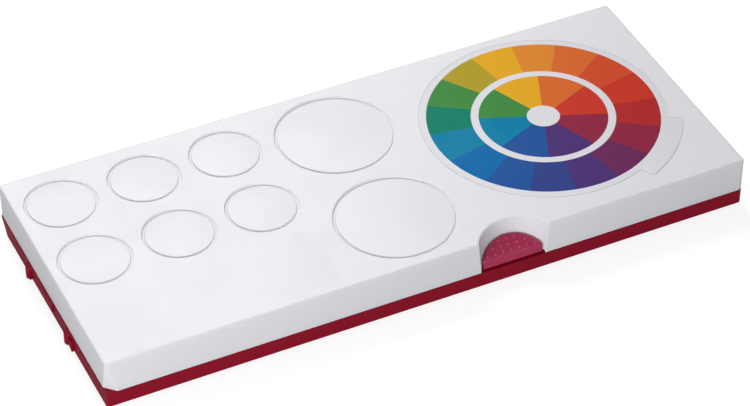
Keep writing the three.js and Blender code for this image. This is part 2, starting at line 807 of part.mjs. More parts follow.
// Crimson thumb button: half-round pad, two arms under the notch wall, pivot hub and hook
function makeButton() {
  const foot = partingHeight + buttonFootRise;
  const back = buttonBack + cutOverrun;
  const browFront = buttonFront + buttonFrontLean;
  const browY = browFront + buttonBrow;
  const browTop = buttonTopAt(browY);
  const browCut = buttonBrow * (1 - Math.SQRT1_2);
  const padProfile = (inset, low) => [
    [buttonFront + inset, low],
    [back, low],
    [back, buttonTopAt(back) - inset],
    [browY + inset, browTop - inset],
    [browFront + browCut + inset, browTop - browCut - inset],
    [browFront + inset, browTop - buttonBrow - inset],
  ];
  const x0 = notchFromCentre - notchTopRadius;
  const x1 = notchFromCentre + notchTopRadius;
  const cone = (grow) => notchCone(foot - cutOverrun, caseHeight, grow);
  let button = plateAlongX(padProfile(0, foot), x0, x1).intersect(cone(-buttonGap));
  const hollow = plateAlongX(padProfile(buttonSkin, foot - cutOverrun), x0, x1);
  button = button.subtract(hollow.intersect(cone(-buttonGap - buttonSkin)));
  for (const pip of gripPips()) {
    button = button.add(pip.intersect(cone(-buttonGap - pipTipRadius / 2)));
  }

  const armFront = buttonFront + armFromFront;
  const armTop = buttonTopAt(armFront) - buttonSkin / 2;
  const hubBottom = pivotHeight - pivotHubRadius;
  const bridgeTop = hubBottom + armBridge;
  const armOutline = [
    [armFront, armTop],
    [armFront, bridgeTop],
    [armFront + armBridge / 2, hubBottom + armBridge / 4],
    [pivotY, hubBottom],
    [pivotY, bridgeTop + armBridge / 2],
    [armFront + armDepth, bridgeTop + armBridge / 4],
    [armFront + armDepth, armTop],
  ].reverse();
  for (const side of [-1, 1]) {
    const x = notchFromCentre + side * armSpread;
    button = button.add(plateAlongX(armOutline, x - armThickness / 2, x + armThickness / 2));
  }
  const hubLeft = notchFromCentre - pivotHubHalf;
  const hubRight = notchFromCentre + pivotHubHalf;
  button = button.add(rodAlongX(pivotHubRadius, hubLeft, hubRight, pivotY, pivotHeight, hubSides));
  const hookFront = pivotY + hookFromPivot - hookThickness / 2;
  const hookRear = hookFront + hookThickness;
  const hookOutline = [
    [hookFront, pivotHeight],
    [hookRear, pivotHeight],
    [hookRear, hookTop - noseHeight],
    [hookRear + noseReach, hookTop - noseHeight],
    [hookRear + noseReach, hookTop - noseHeight / 2],
    [hookRear, hookTop],
    [hookFront, hookTop],
  ];
  const hookLeft = notchFromCentre - hookHalfWidth;
  const hookRight = notchFromCentre + hookHalfWidth;
  button = button.add(plateAlongX(hookOutline, hookLeft, hookRight));
  const boreRadius = pivotPinRadius + pivotPinClearance;
  return button.subtract(
    rodAlongX(boreRadius, hubLeft - cutOverrun, hubRight + cutOverrun, pivotY, pivotHeight, boreSides),
  );
}

// Centre line of the return spring, between two heights over the tray's floor
class Coil extends THREE.Curve {
  constructor(low, high) {
    super();
    this.low = low;
    this.high = high;
  }

  getPoint(t, target = new THREE.Vector3()) {
    const angle = t * springTurns * 2 * Math.PI;
    const z = this.low + (this.high - this.low) * t;
    return target.set(springMeanRadius * Math.cos(angle), springMeanRadius * Math.sin(angle), z);
  }
}

// Return spring about its own axis, from the tray's floor up to the underside of the pad
function makeSpring() {
  const padUnder = buttonTopAt(springY - springMeanRadius - springWire / 2) - buttonSkin;
  const low = trayFloor + springFootGap + springWire / 2;
  const high = padUnder - springTopGap - springWire / 2;
  const section = new THREE.Shape(Array.from({ length: springWireSides }, (_, i) => {
    const angle = (i / springWireSides) * 2 * Math.PI;
    return new THREE.Vector2((springWire / 2) * Math.cos(angle), (springWire / 2) * Math.sin(angle));
  }));
  const steps = springTurns * springStepsPerTurn;
  const extrudePath = new Coil(low, high);
  return asSolid(new THREE.ExtrudeGeometry(section, { steps, bevelEnabled: false, extrudePath }));
}

// One pan about its own centre, foot at zero: a flanged square cup with a round hollow
function makePan() {
  const bay = (panPitch - ribThickness) / 2;
  const height = lipTop - trayFloor - panFloorClearance;
  const shoulder = height - panFlange;
  const bodyHalf = bay - panBodyClearance;
  const flangeHalf = (panPitch - panFlangeGap) / 2;
  const body = roundedBox([
    squareLevel(0, bodyHalf - panTaper, panFootCorner),
    squareLevel(shoulder, bodyHalf, panCorner),
  ], panCornerSteps);
  const flange = roundedBox([
    squareLevel(shoulder, flangeHalf, panCorner),
    squareLevel(height, flangeHalf, panCorner),
  ], panCornerSteps);
  const flare = (panMouthRadius - panFootRadius) / (height - panFloor);
  const hollow = turned([
    [0, panFloor],
    [panFootRadius, panFloor],
    [panMouthRadius + flare * cutOverrun, height + cutOverrun],
    [0, height + cutOverrun],
  ], roundSides);
  return body.add(flange).subtract(hollow);
}

// One pressed cake of colour about the pan's centre, with a bevelled rim and a shallow dish
function makeCake() {
  const height = lipTop - trayFloor - panFloorClearance;
  const flare = (panMouthRadius - panFootRadius) / (height - panFloor);
  const wallAt = (z) => panFootRadius + flare * (z - panFloor) - cakeClearance;
  const top = height - cakeTopDrop;
  const bevelZ = top - cakeBevel / 2;
  return turned([
    [0, panFloor],
    [wallAt(panFloor), panFloor],
    [wallAt(bevelZ), bevelZ],
    [wallAt(bevelZ) - cakeBevel, top],
    [0, top - cakeDish],
  ], roundSides);
}

// Oval ring across the tube's axis, used from the round body to the flat crimp
function tubeRing(z, halfWidth, halfThickness) {
  const ring = [];
  for (let i = 0; i < roundSides; i++) {
    const angle = (i / roundSides) * 2 * Math.PI;
    ring.push(new THREE.Vector3(halfThickness * Math.cos(angle), halfWidth * Math.sin(angle), z));
  }
  return ring;
}

// Soft squeeze tube along its own axis, from the flat crimp up to the neck under the cap
function makeTube() {
  const crimpHalf = tubeCrimpWidth / 2;
  const swellShares = [0, 0.12, 0.28, 0.48];
  const rings = [];
  for (const share of swellShares) {
    const bulge = Math.sin((share / swellShares.at(-1)) * (Math.PI / 2));
    const halfThickness = tubeCrimpThickness / 4 + (tubeRadius - tubeCrimpThickness / 4) * bulge;
    const halfWidth = crimpHalf + (tubeRadius - crimpHalf) * bulge ** 2;
    rings.push(tubeRing(tubeCrimpLength + share * tubeBodyLength, halfWidth, halfThickness));
  }
  const bodyEnd = tubeCrimpLength + tubeBodyLength;
  rings.push(tubeRing(bodyEnd, tubeRadius, tubeRadius));
  rings.push(tubeRing(bodyEnd + tubeShoulder, tubeNeckRadius, tubeNeckRadius));
  rings.push(tubeRing(bodyEnd + tubeShoulder + tubeNeckLength, tubeNeckRadius, tubeNeckRadius));
  const fold = block(
    -tubeCrimpThickness / 2,
    tubeCrimpThickness / 2,
    -crimpHalf,
    crimpHalf,
    0,
    tubeCrimpLength + tubeCrimpThickness,
  );
  return skinRings(rings).add(fold);
}

// Fluted screw cap about the tube's axis, open end at zero
function makeCap() {
  const ring = (z, radius, depth) => {
    const points = [];
    for (let i = 0; i < capFlutes * 2; i++) {
      const angle = (i / capFlutes) * Math.PI;
      const r = radius - (i % 2) * depth;
      points.push(new THREE.Vector3(r * Math.cos(angle), r * Math.sin(angle), z));
    }
    return points;
  };
  const body = skinRings([
    ring(0, capRadius, capFluteDepth),
    ring(capLength - capFluteDepth, capTipRadius, capFluteDepth),
    ring(capLength, capTipRadius - capFluteDepth, 0),
  ]);
  const bore = tubeNeckRadius + capClearance;
  const depth = tubeNeckLength + capClearance;
  const profile = [[0, -cutOverrun], [bore, -cutOverrun], [bore, depth], [0, depth]];
  return body.subtract(turned(profile, roundSides));
}

// Materials
const plastic = (color, roughness) => new THREE.MeshStandardMaterial({ color, roughness, metalness: 0 });
const steel = (roughness) => new THREE.MeshStandardMaterial({ color: 0xb9bdc2, roughness, metalness: 1 });
const whiteShell = plastic(0xe9e9ee, 0.42);
const crimsonShell = plastic(0x7c0f26, 0.38);
const crimsonButton = plastic(0x93163c, 0.36);
const labelFilm = plastic(0xf2f2f2, 0.3);
const panPlastic = plastic(0xf1f1ef, 0.4);
const tubeFilm = plastic(0xe6e7ea, 0.32);
const capPlastic = plastic(0xf4f4f2, 0.45);
const pinSteel = steel(0.25);
const springSteel = steel(0.35);

// Twelve opaque colours, left to right, rear row first
const cakeColours = [
  ["lemon_yellow", 0xf5d92a],
  ["golden_yellow", 0xf0a81c],
  ["orange", 0xe7661c],
  ["vermilion", 0xd8321f],
  ["carmine", 0xa8123a],
  ["violet", 0x5a2a7c],
  ["ultramarine", 0x1e3391],
  ["cyan_blue", 0x0f7fbf],
  ["blue_green", 0x12807a],
  ["yellow_green", 0x63a82c],
  ["burnt_sienna", 0x7a3a1c],
  ["black", 0x1c1b1e],
];

// Assembly
const paintBox = new THREE.Group();
paintBox.name = "paint_box";

paintBox.add(piece("base_tray", makeTray(), crimsonShell));
paintBox.add(piece("lid", makeLid(), whiteShell));

const label = piece("colour_guide_label", plateAlongZ(labelOutline(0), 0, labelThickness), labelFilm);
label.position.set(
  halfLength - labelRightInset,
  -halfDepth + labelFrontInset,
  caseHeight + labelRise - labelThickness,
);
paintBox.add(label);

paintBox.add(piece("release_button", makeButton(), crimsonButton));

const pinHalf = pivotHubHalf + postGap + postThickness;
const pin = piece("button_pin", rodAlongX(pivotPinRadius, -pinHalf, pinHalf, 0, 0, rodSides), pinSteel);
pin.position.set(notchFromCentre, pivotY, pivotHeight);
paintBox.add(pin);

const spring = piece("button_spring", makeSpring(), springSteel);
spring.position.set(notchFromCentre, -halfDepth + springFromFront, 0);
paintBox.add(spring);

const panSolid = makePan();
const cakeSolid = makeCake();
cakeColours.forEach(([colour, value], number) => {
  const column = number % panColumns;
  const row = Math.floor(number / panColumns);
  const bay = new THREE.Group();
  bay.position.set(
    panColumnX + column * panPitch,
    panRowY - row * panPitch,
    trayFloor + panFloorClearance,
  );
  bay.add(piece(`pan_${colour}`, panSolid, panPlastic));
  bay.add(piece(`cake_${colour}`, cakeSolid, plastic(value, 0.85)));
  paintBox.add(bay);
});

const tubeGroup = new THREE.Group();
tubeGroup.position.set(tubeStartX, tubeAxisY, tubeAxisZ);
tubeGroup.rotation.set(0, Math.PI / 2, 0);
tubeGroup.add(piece("white_paint_tube", makeTube(), tubeFilm));
const cap = piece("tube_cap", makeCap(), capPlastic);
cap.position.set(0, 0, tubeCrimpLength + tubeBodyLength + tubeShoulder + capClearance);
tubeGroup.add(cap);
paintBox.add(tubeGroup);

export default paintBox;
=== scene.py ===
"""Looks of a flat school paint box: white lid with mixing wells, crimson tray, pans of paint.

Every new piece is worked out as rings, grids or outlines of points, in metres, where the frame has
it; the tray keeps the frame's own mesh.
"""
import math

import bmesh
import bpy
import numpy as np
from bpy.props import FloatProperty, FloatVectorProperty, PointerProperty
from bpy.types import Operator, Panel, PropertyGroup
from mathutils import Matrix, Vector
from mathutils.geometry import delaunay_2d_cdt


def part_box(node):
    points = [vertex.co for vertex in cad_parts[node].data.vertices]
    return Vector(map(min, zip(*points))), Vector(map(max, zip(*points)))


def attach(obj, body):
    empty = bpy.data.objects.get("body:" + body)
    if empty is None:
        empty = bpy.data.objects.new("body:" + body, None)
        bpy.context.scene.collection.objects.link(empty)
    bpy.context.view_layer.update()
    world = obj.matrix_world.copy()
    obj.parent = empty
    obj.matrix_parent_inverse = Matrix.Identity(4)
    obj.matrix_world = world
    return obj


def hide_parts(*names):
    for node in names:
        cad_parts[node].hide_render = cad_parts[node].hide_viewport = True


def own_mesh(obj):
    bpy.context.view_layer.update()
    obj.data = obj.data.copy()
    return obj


bl_info = {
    "name": "School Paint Box",
    "version": (1, 0, 0),
    "blender": (4, 5, 0),
    "location": "3D View > Sidebar > Paint Box",
    "description": "Fine surfaces and finishes of a flat school paint box",
    "category": "Add Mesh",
}

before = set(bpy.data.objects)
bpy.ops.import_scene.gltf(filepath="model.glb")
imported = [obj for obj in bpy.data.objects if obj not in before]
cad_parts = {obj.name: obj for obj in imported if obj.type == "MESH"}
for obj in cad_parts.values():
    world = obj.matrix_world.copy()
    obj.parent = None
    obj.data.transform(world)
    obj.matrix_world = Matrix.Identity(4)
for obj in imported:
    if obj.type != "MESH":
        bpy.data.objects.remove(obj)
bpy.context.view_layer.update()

MM = 0.001
TURN = 2 * math.pi
QUARTER = math.pi / 2

# Counts of the grids
CORNER_STEPS = 8
EDGE_STEPS = 5
NOTCH_STEPS = 64
SMALL_WELL_SIDES = 96
LARGE_WELL_SIDES = 144
DOME_STEPS = 10
LABEL_STEPS = 150
TAB_STEPS = 24
PAN_SIDES = 64
PAN_STEPS = PAN_SIDES // 4 - 1
PAD_FRONT_STEPS = 25
ROD_SIDES = 32
TUBE_SIDES = 48
PIP_SIDES = 16
CAP_FLUTES = 20
PIP_ROWS = (7, 5, 3)
SPRING_TURNS = 7
SPRING_STEPS = 20
WIRE_SIDES = 10

# How far the spring's coil stands inside its node's width, clear of the pressed pad's rear wall
SPRING_EASE = 0.32 * MM

# An edge that turns by more than this angle stays sharp
SHARP_ANGLE = math.radians(38)


def length(name, description, millimetres):
    """A length that a user can change, given in millimetres."""
    return FloatProperty(name=name, description=description, default=millimetres * MM,
                         unit="LENGTH", precision=5)


def degrees(name, description, value):
    """An angle that a user can change, given in degrees."""
    return FloatProperty(name=name, description=description, default=math.radians(value),
                         subtype="ANGLE")


def watts(name, description, value):
    """A lamp's power that a user can change."""
    return FloatProperty(name=name, description=description, default=value, unit="POWER")


def colour(name, description, value):
    """A surface colour that a user can change, in linear red, green and blue."""
    return FloatVectorProperty(name=name, description=description, default=value,
                               subtype="COLOR", min=0.0, max=1.0)


class LidSizes(PropertyGroup):
    """Sizes of the lid's shell, its wells and its finger notch"""

    parting: length("Parting height", "Height of the lid's foot over the table", 9.0)
    wall: length("Wall", "Thickness of the side walls", 1.8)
    top: length("Top", "Thickness of the top plate", 2.0)
    draft: length("Draft", "How far the walls lean out at the foot", 0.15)
    edge: length("Edge radius", "Rounding between the top and the walls", 0.8)
    foot: length("Foot radius", "Rounding of the foot's two edges", 0.25)
    top_corner: length("Top corner", "Corner radius at the top", 1.2)
    cut: length("Corner cut", "Leg of the left front corner's cut at the foot", 5.4)
    cut_top: length("Top corner cut", "Leg of that cut at the top", 0.7)
    cut_soft: length("Cut edges", "Rounding along the cut's edges", 1.0)
    right_corner: length("Right foot corner", "Radius of the right front corner at the foot", 2.6)
    rear_corner: length("Rear foot corner", "Radius of the rear corners at the foot", 1.6)
    small_well: length("Small well", "Radius of a small mixing well", 18.8)
    large_well: length("Large well", "Radius of a large mixing well", 31.2)
    small_left: length("Small well inset", "First small well's centre from the left end", 23.4)
    small_rear: length("Small well rear inset", "Rear small wells' centres from the rear", 26.5)
    small_pitch: length("Small well pitch", "Distance between small wells along the case", 44.2)
    small_rows: length("Small well rows", "Distance between the rows of small wells", 46.4)
    large_left: length("Large well inset", "Large wells' centres from the left end", 168.1)
    large_rear: length("Large well rear inset", "Rear large well's centre from the rear", 36.8)
    large_rows: length("Large well rows", "Distance between the two large wells", 71.2)
    groove: length("Groove", "Width of the ring around a well", 1.8)
    groove_depth: length("Groove depth", "Depth of the ring around a well", 1.15)
    dome_edge: length("Dome edge", "Drop of a well's dome at its edge", 0.5)
    dome_crown: length("Dome crown", "Drop of a well's dome at its middle", 0.0)
    bowl_depth: length("Bowl depth", "Depth of a bowl in the inner face", 0.7)
    bowl_rim: length("Bowl rim", "Height of the ring around a bowl", 0.9)
    notch_top: length("Notch top radius", "Radius of the finger notch at the top", 21.5)
    notch_foot: length("Notch foot radius", "Radius of the finger notch at the foot", 20.0)
    notch_back: length("Notch setback", "Notch centre in front of the front face", 9.3)
    notch_rise: length("Notch foot rise", "How far the notch wall ends over the parting", 1.3)
    notch_edge: length("Notch edge", "Rounding where the notch meets the front", 0.5)


class LabelSizes(PropertyGroup):
    """Sizes of the colour guide label and its recess"""

    radius: length("Radius", "Radius of the round label", 63.8)
    tab: length("Tab", "How far the label's tab reaches past the disc", 7.6)
    corner: length("Tab corner", "Rounding of the tab's corners", 2.2)
    gap: length("Gap", "Gap between the label and its recess", 0.3)
    rise: length("Rise", "How far the label stands over the lid's top", 0.2)
    thickness: length("Thickness", "Thickness of the label", 0.4)
    print_radius: length("Print radius", "Outer radius of the printed hues", 60.1)
    ring_inner: length("Hue ring", "Inner radius of the outer hue ring", 37.2)
    core_radius: length("Core radius", "Outer radius of the inner hues", 33.2)
    hub_radius: length("Hub radius", "Radius of the white middle", 8.5)


class ButtonSizes(PropertyGroup):
    """Sizes of the thumb button, its lever and its spring"""

    gap: length("Gap", "Gap between the button and the notch", 0.8)
    front: length("Front inset", "Button's front behind the case's front", 0.4)
    lean: length("Lean", "How far the front face leans back", 0.5)
    rise: length("Foot rise", "Pad's foot over the parting", 1.2)
    front_top: length("Front top", "Pad's front edge over the parting", 5.6)
    rear_drop: length("Rear drop", "Pad's rear edge under the lid's top", 7.2)
    brow: length("Brow", "Rounding between the front face and the top", 1.0)
    corner: length("Corner", "Rounding of the pad's upright corners", 0.5)
    skin: length("Skin", "Wall thickness of the hollow pad", 1.7)
    pip: length("Pip", "Radius of one grip pip", 1.05)
    pip_height: length("Pip height", "Height of one grip pip", 0.55)
    pip_pitch: length("Pip pitch", "Distance between pips in a row", 4.35)
    pip_rows: length("Pip rows", "Distance between rows of pips", 2.9)
    pip_front: length("Pip front", "First row of pips behind the front face", 2.3)
    wire: length("Wire", "Wire thickness of the return spring", 0.7)


class HingeSizes(PropertyGroup):
    """Sizes of the hinges"""

    barrel: length("Barrel", "Radius of the hinge barrels", 2.4)
    pin: length("Pin", "Radius of the hinge pins", 1.2)
    pin_reach: length("Pin reach", "How far a pin stands out on each side of its ear", 6.0)
    spread: length("Spread", "Distance of each hinge from the middle", 105.0)
    ear: length("Ear", "Width of each hinge ear", 12.0)
    setback: length("Setback", "Hinge axis behind the case's rear", 0.5)
    drop: length("Drop", "Hinge axis under the parting", 3.0)


class PaintColours(PropertyGroup):
    """Colours of the plastics, the label film and the steel"""

    white: colour("White shell", "Cool white plastic of the lid", (0.79, 0.79, 0.825))
    crimson: colour("Crimson shell", "Crimson plastic of the tray", (0.265, 0.003, 0.019))
    button: colour("Crimson button", "Crimson plastic of the button", (0.42, 0.018, 0.078))
    film: colour("Label film", "White of the label", (0.775, 0.775, 0.812))
    pan: colour("Pan plastic", "White of the pans and the cap", (0.82, 0.82, 0.81))
    steel: colour("Steel", "Steel of the pin and the spring", (0.56, 0.57, 0.59))


class StudioSettings(PropertyGroup):
    """Camera and lamps"""

    lens: FloatProperty(name="Lens", description="Focal length for a 36 mm wide sensor",
                        default=146.742, unit="CAMERA")
    azimuth: degrees("Azimuth", "Camera's turn about the box", -24.8032)
    elevation: degrees("Elevation", "Camera's angle above the table", 40.3647)
    roll: degrees("Roll", "Camera's roll about its own axis", -0.656)
    distance: length("Distance", "Camera's distance from the box", 1531.656)
    off_right: length("Aim right", "How far the box's middle lies right of the axis", -1.1)
    off_up: length("Aim up", "How far the box's middle lies above the axis", 15.338)
    key: watts("Key", "Power of the large lamp behind and above", 7.8)
    front: watts("Front", "Power of the lamp in front", 2.35)
    side: watts("Side", "Power of the lamp at the front left", 4.0)
    left: watts("Left", "Power of the lamp on the left", 0.5)
    ambient: FloatProperty(name="Ambient", description="Strength of the even white surroundings",
                           default=0.215)


GROUPS = {
    "paint_lid": LidSizes,
    "paint_label": LabelSizes,
    "paint_button": ButtonSizes,
    "paint_hinge": HingeSizes,
    "paint_colours": PaintColours,
    "paint_studio": StudioSettings,
}

# Paints of the twelve cakes and hues of the guide, in linear red, green and blue
CAKES = {
    "lemon_yellow": (0.86, 0.65, 0.035),
    "golden_yellow": (0.83, 0.36, 0.018),
    "orange": (0.78, 0.125, 0.012),
    "vermilion": (0.66, 0.035, 0.016),
    "carmine": (0.36, 0.008, 0.042),
    "violet": (0.105, 0.024, 0.19),
    "ultramarine": (0.014, 0.034, 0.27),
    "cyan_blue": (0.008, 0.2, 0.5),
    "blue_green": (0.008, 0.21, 0.18),
    "yellow_green": (0.12, 0.37, 0.026),
    "burnt_sienna": (0.19, 0.042, 0.014),
    "black": (0.013, 0.012, 0.014),
}
HUES = (
    (0.620, 0.047, 0.025), (0.669, 0.082, 0.028), (0.721, 0.154, 0.032), (0.767, 0.256, 0.033),
    (0.807, 0.410, 0.018), (0.455, 0.348, 0.025), (0.056, 0.265, 0.056), (0.000, 0.220, 0.139),
    (0.000, 0.220, 0.399), (0.000, 0.145, 0.421), (0.016, 0.093, 0.338), (0.036, 0.059, 0.256),
    (0.080, 0.036, 0.187), (0.161, 0.028, 0.119), (0.300, 0.026, 0.063), (0.478, 0.030, 0.033),
)

# The floor's half width and height, in metres, and how it shows
FLOOR_HALF = 3.0
FLOOR_HEIGHT = -0.05 * MM
FLOOR_GLOW = 0.77
FLOOR_GLOSS = 0.06
FLOOR_PAINT = (0.36, 0.36, 0.364, 1.0)

# Each lamp's place, target, size and tint; its power is the setting of the same name
LAMPS = {
    "key": ((0.1, 0.7, 0.8), (0, 0, 0), (0.6, 0.6), (1.0, 0.995, 0.99)),
    "front": ((-0.1, -0.8, 0.3), (-0.08, 0, 0.01), (0.6, 0.4), (0.99, 0.995, 1.0)),
    "side": ((-0.75, -0.55, 0.3), (-0.15, 0, 0), (0.5, 0.4), (0.99, 0.995, 1.0)),
    "left": ((-0.9, 0.05, 0.3), (-0.17, 0, 0.01), (0.5, 0.4), (0.97, 0.98, 1.0)),
}


def node_box(name):
    """Lowest and highest corner of one node of the frame, as arrays."""
    low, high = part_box(name)
    return np.array(low), np.array(high)


def new_object(name, data):
    """A new object in the scene."""
    made = bpy.data.objects.new(name, data)
    bpy.context.scene.collection.objects.link(made)
    return made


def round_angles(sides):
    """Angles of equal steps round a whole turn."""
    return np.arange(sides) / sides * TURN


class Skin:
    """Points and faces of one piece, gathered grid by grid."""

    def __init__(self):
        self.points = np.zeros((0, 3))
        self.faces = []

    def add(self, points):
        """Keeps an array of points and returns their numbers in the same shape."""
        points = np.asarray(points, float)
        shape = points.shape[:-1]
        numbers = len(self.points) + np.arange(int(np.prod(shape))).reshape(shape)
        self.points = np.concatenate([self.points, points.reshape(-1, 3)])
        return numbers

    def loft(self, rings):
        """Quads from each ring of points to the next; every ring closes on itself."""
        numbers = self.add(rings)
        shut = np.concatenate([numbers, numbers[:, :1]], axis=1)
        quads = np.stack([shut[:-1, :-1], shut[:-1, 1:], shut[1:, 1:], shut[1:, :-1]], -1)
        self.faces += quads.reshape(-1, 4).tolist()
        return numbers

    def fan(self, ring, hub):
        """Triangles from a ring to one point."""
        number = self.add([hub])[0]
        self.faces += [[a, b, number] for a, b in zip(ring, np.roll(ring, -1))]

    def capped(self, rings, first, last):
        """A loft whose first and last rings are closed by fans to a point."""
        numbers = self.loft(rings)
        self.fan(numbers[0], first)
        self.fan(numbers[-1], last)
        return self

    def fill(self, loops, plane=(0, 1)):
        """Fills the flat region inside the first loop and outside the others.

        The loops are triangulated together, and a triangle stays where a line from its middle
        to the far right crosses the loops an odd number of times."""
        numbers = np.concatenate(loops)
        flat = self.points[numbers][:, list(plane)]
        edges = []
        start = 0
        for loop in loops:
            own = start + np.arange(len(loop))
            edges.append(np.stack([own, np.roll(own, -1)], -1))
            start += len(loop)
        edges = np.concatenate(edges)
        made = delaunay_2d_cdt([Vector(p) for p in flat], edges.tolist(), [], 0, 1e-9, True)
        triangles = np.array([[made[3][corner][0] for corner in face] for face in made[2]])
        middles = flat[triangles].mean(axis=1)
        a, b = flat[edges[:, 0]], flat[edges[:, 1]]
        x, y = middles[:, :1], middles[:, 1:]
        spans = (a[:, 1] > y) != (b[:, 1] > y)
        rise = np.where(b[:, 1] == a[:, 1], 1.0, b[:, 1] - a[:, 1])
        crossings = spans & (x < a[:, 0] + (y - a[:, 1]) * (b[:, 0] - a[:, 0]) / rise)
        inside = crossings.sum(axis=1) % 2 == 1
        self.faces += numbers[triangles[inside]].tolist()

    def turned(self, profile, centre, sides, axis="z"):
        """A surface of revolution from radius and height pairs, the last of them on the axis.

        A profile that also starts on the axis closes there; any other one is left open."""
        angles = round_angles(sides)
        rings = []
        for radius, height in profile:
            across = radius * np.cos(angles), radius * np.sin(angles)
            along = np.full(sides, height)
            order = (*across, along) if axis == "z" else (along, *across)
            rings.append(np.stack(order, -1) + centre)
        if profile[0][0] == 0:
            numbers = self.loft(rings[1:-1])
            self.fan(numbers[0], rings[0][0])
        else:
            numbers = self.loft(rings[:-1])
        self.fan(numbers[-1], rings[-1][0])
        return numbers

    def prism(self, outline, low, high, edge, axis="x"):
        """A plate between two heights along an axis, with its edges rounded over.

        The outline's end rings are drawn in by the edge size, so each end has a soft rim."""
        plane, third = {"x": ((1, 2), 0), "z": ((0, 1), 2)}[axis]
        bends = np.linspace(0, QUARTER, 4)
        insets = np.concatenate([edge * (1 - np.sin(bends)), edge * (1 - np.sin(bends[::-1]))])
        heights = np.concatenate([low + edge * (1 - np.cos(bends)),
                                  high - edge * (1 - np.cos(bends[::-1]))])
        rings = np.zeros((len(heights), len(outline), 3))
        for ring, inset, height in zip(rings, insets, heights):
            ring[:, plane] = offset(outline, -inset)
            ring[:, third] = height
        numbers = self.loft(rings)
        self.fill(numbers[:1], plane)
        self.fill(numbers[-1:], plane)

    def piece(self, name, material, body, slot, *nodes):
        """Makes the object that stands for the nodes: doubles merged, faces pointing out."""
        mesh = bpy.data.meshes.new(name)
        mesh.from_pydata(self.points.tolist(), [], self.faces)
        work = bmesh.new()
        work.from_mesh(mesh)
        bmesh.ops.remove_doubles(work, verts=work.verts, dist=1e-7)
        bmesh.ops.recalc_face_normals(work, faces=work.faces)
        work.to_mesh(mesh)
        work.free()
        mesh.shade_smooth()
        mesh.set_sharp_from_angle(angle=SHARP_ANGLE)
        mesh.materials.append(material)
        made = new_object(name, mesh)
        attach(made, body)
        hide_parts(*nodes)
        return made


def offset(loop, distance):
    """The closed anticlockwise loop moved outwards by a distance, each corner along its mitre."""
    loop = np.asarray(loop, float)
    ahead = np.roll(loop, -1, axis=0) - loop
    ahead /= np.linalg.norm(ahead, axis=1, keepdims=True)
    normal = np.stack([ahead[:, 1], -ahead[:, 0]], -1)
    before = np.roll(normal, 1, axis=0)
    mitre = normal + before
    mitre /= np.maximum((mitre * normal).sum(axis=1, keepdims=True), 0.3)
    return loop + distance * mitre


def rounded(points, radii, closed=False, steps=4):
    """The line through the points, with an arc of its own radius in place of each inner corner.

    Each arc touches both sides of its corner: it starts and ends radius / tan(half the corner's
    angle) away from it."""
    points = [np.asarray(point, float) for point in points]
    count = len(points)
    line = []
    for i, (point, radius) in enumerate(zip(points, radii)):
        if radius == 0 or (not closed and i in (0, count - 1)):
            line.append(point)
            continue
        back = points[i - 1] - point
        ahead = points[(i + 1) % count] - point
        back /= np.linalg.norm(back)
        ahead /= np.linalg.norm(ahead)
        corner = math.acos(float(np.clip(back @ ahead, -1, 1)))
        reach = radius / math.tan(corner / 2)
        middle = (back + ahead) / np.linalg.norm(back + ahead)
        centre = point + middle * radius / math.sin(corner / 2)
        first = point + back * reach - centre
        last = point + ahead * reach - centre
        swing = math.pi - corner
        for share in np.linspace(0, 1, steps + 1):
            line.append(centre + (math.sin((1 - share) * swing) * first
                                  + math.sin(share * swing) * last) / math.sin(swing))
    return np.array(line)


def softened(points, radius):
    """The open line through the points with one radius at every corner."""
    return rounded(points, [0, *[radius] * (len(points) - 2), 0])


def arc(centre, radius, start, end, steps):
    """Points on a circle from one angle to another."""
    angles = np.linspace(start, end, steps + 1)
    return np.stack([centre[0] + radius * np.cos(angles), centre[1] + radius * np.sin(angles)], -1)


def cut_corner(x, y, leg, soft):
    """A cut across the corner of the left side and the front, with an arc at each of its ends."""
    reach = leg + soft
    return softened([(x, y + reach), (x, y + leg), (x + leg, y), (x + reach, y)], soft)


def with_height(outline, height):
    """A ring of points at one height, or at one height for each point."""
    return np.column_stack([outline, np.broadcast_to(height, len(outline))])


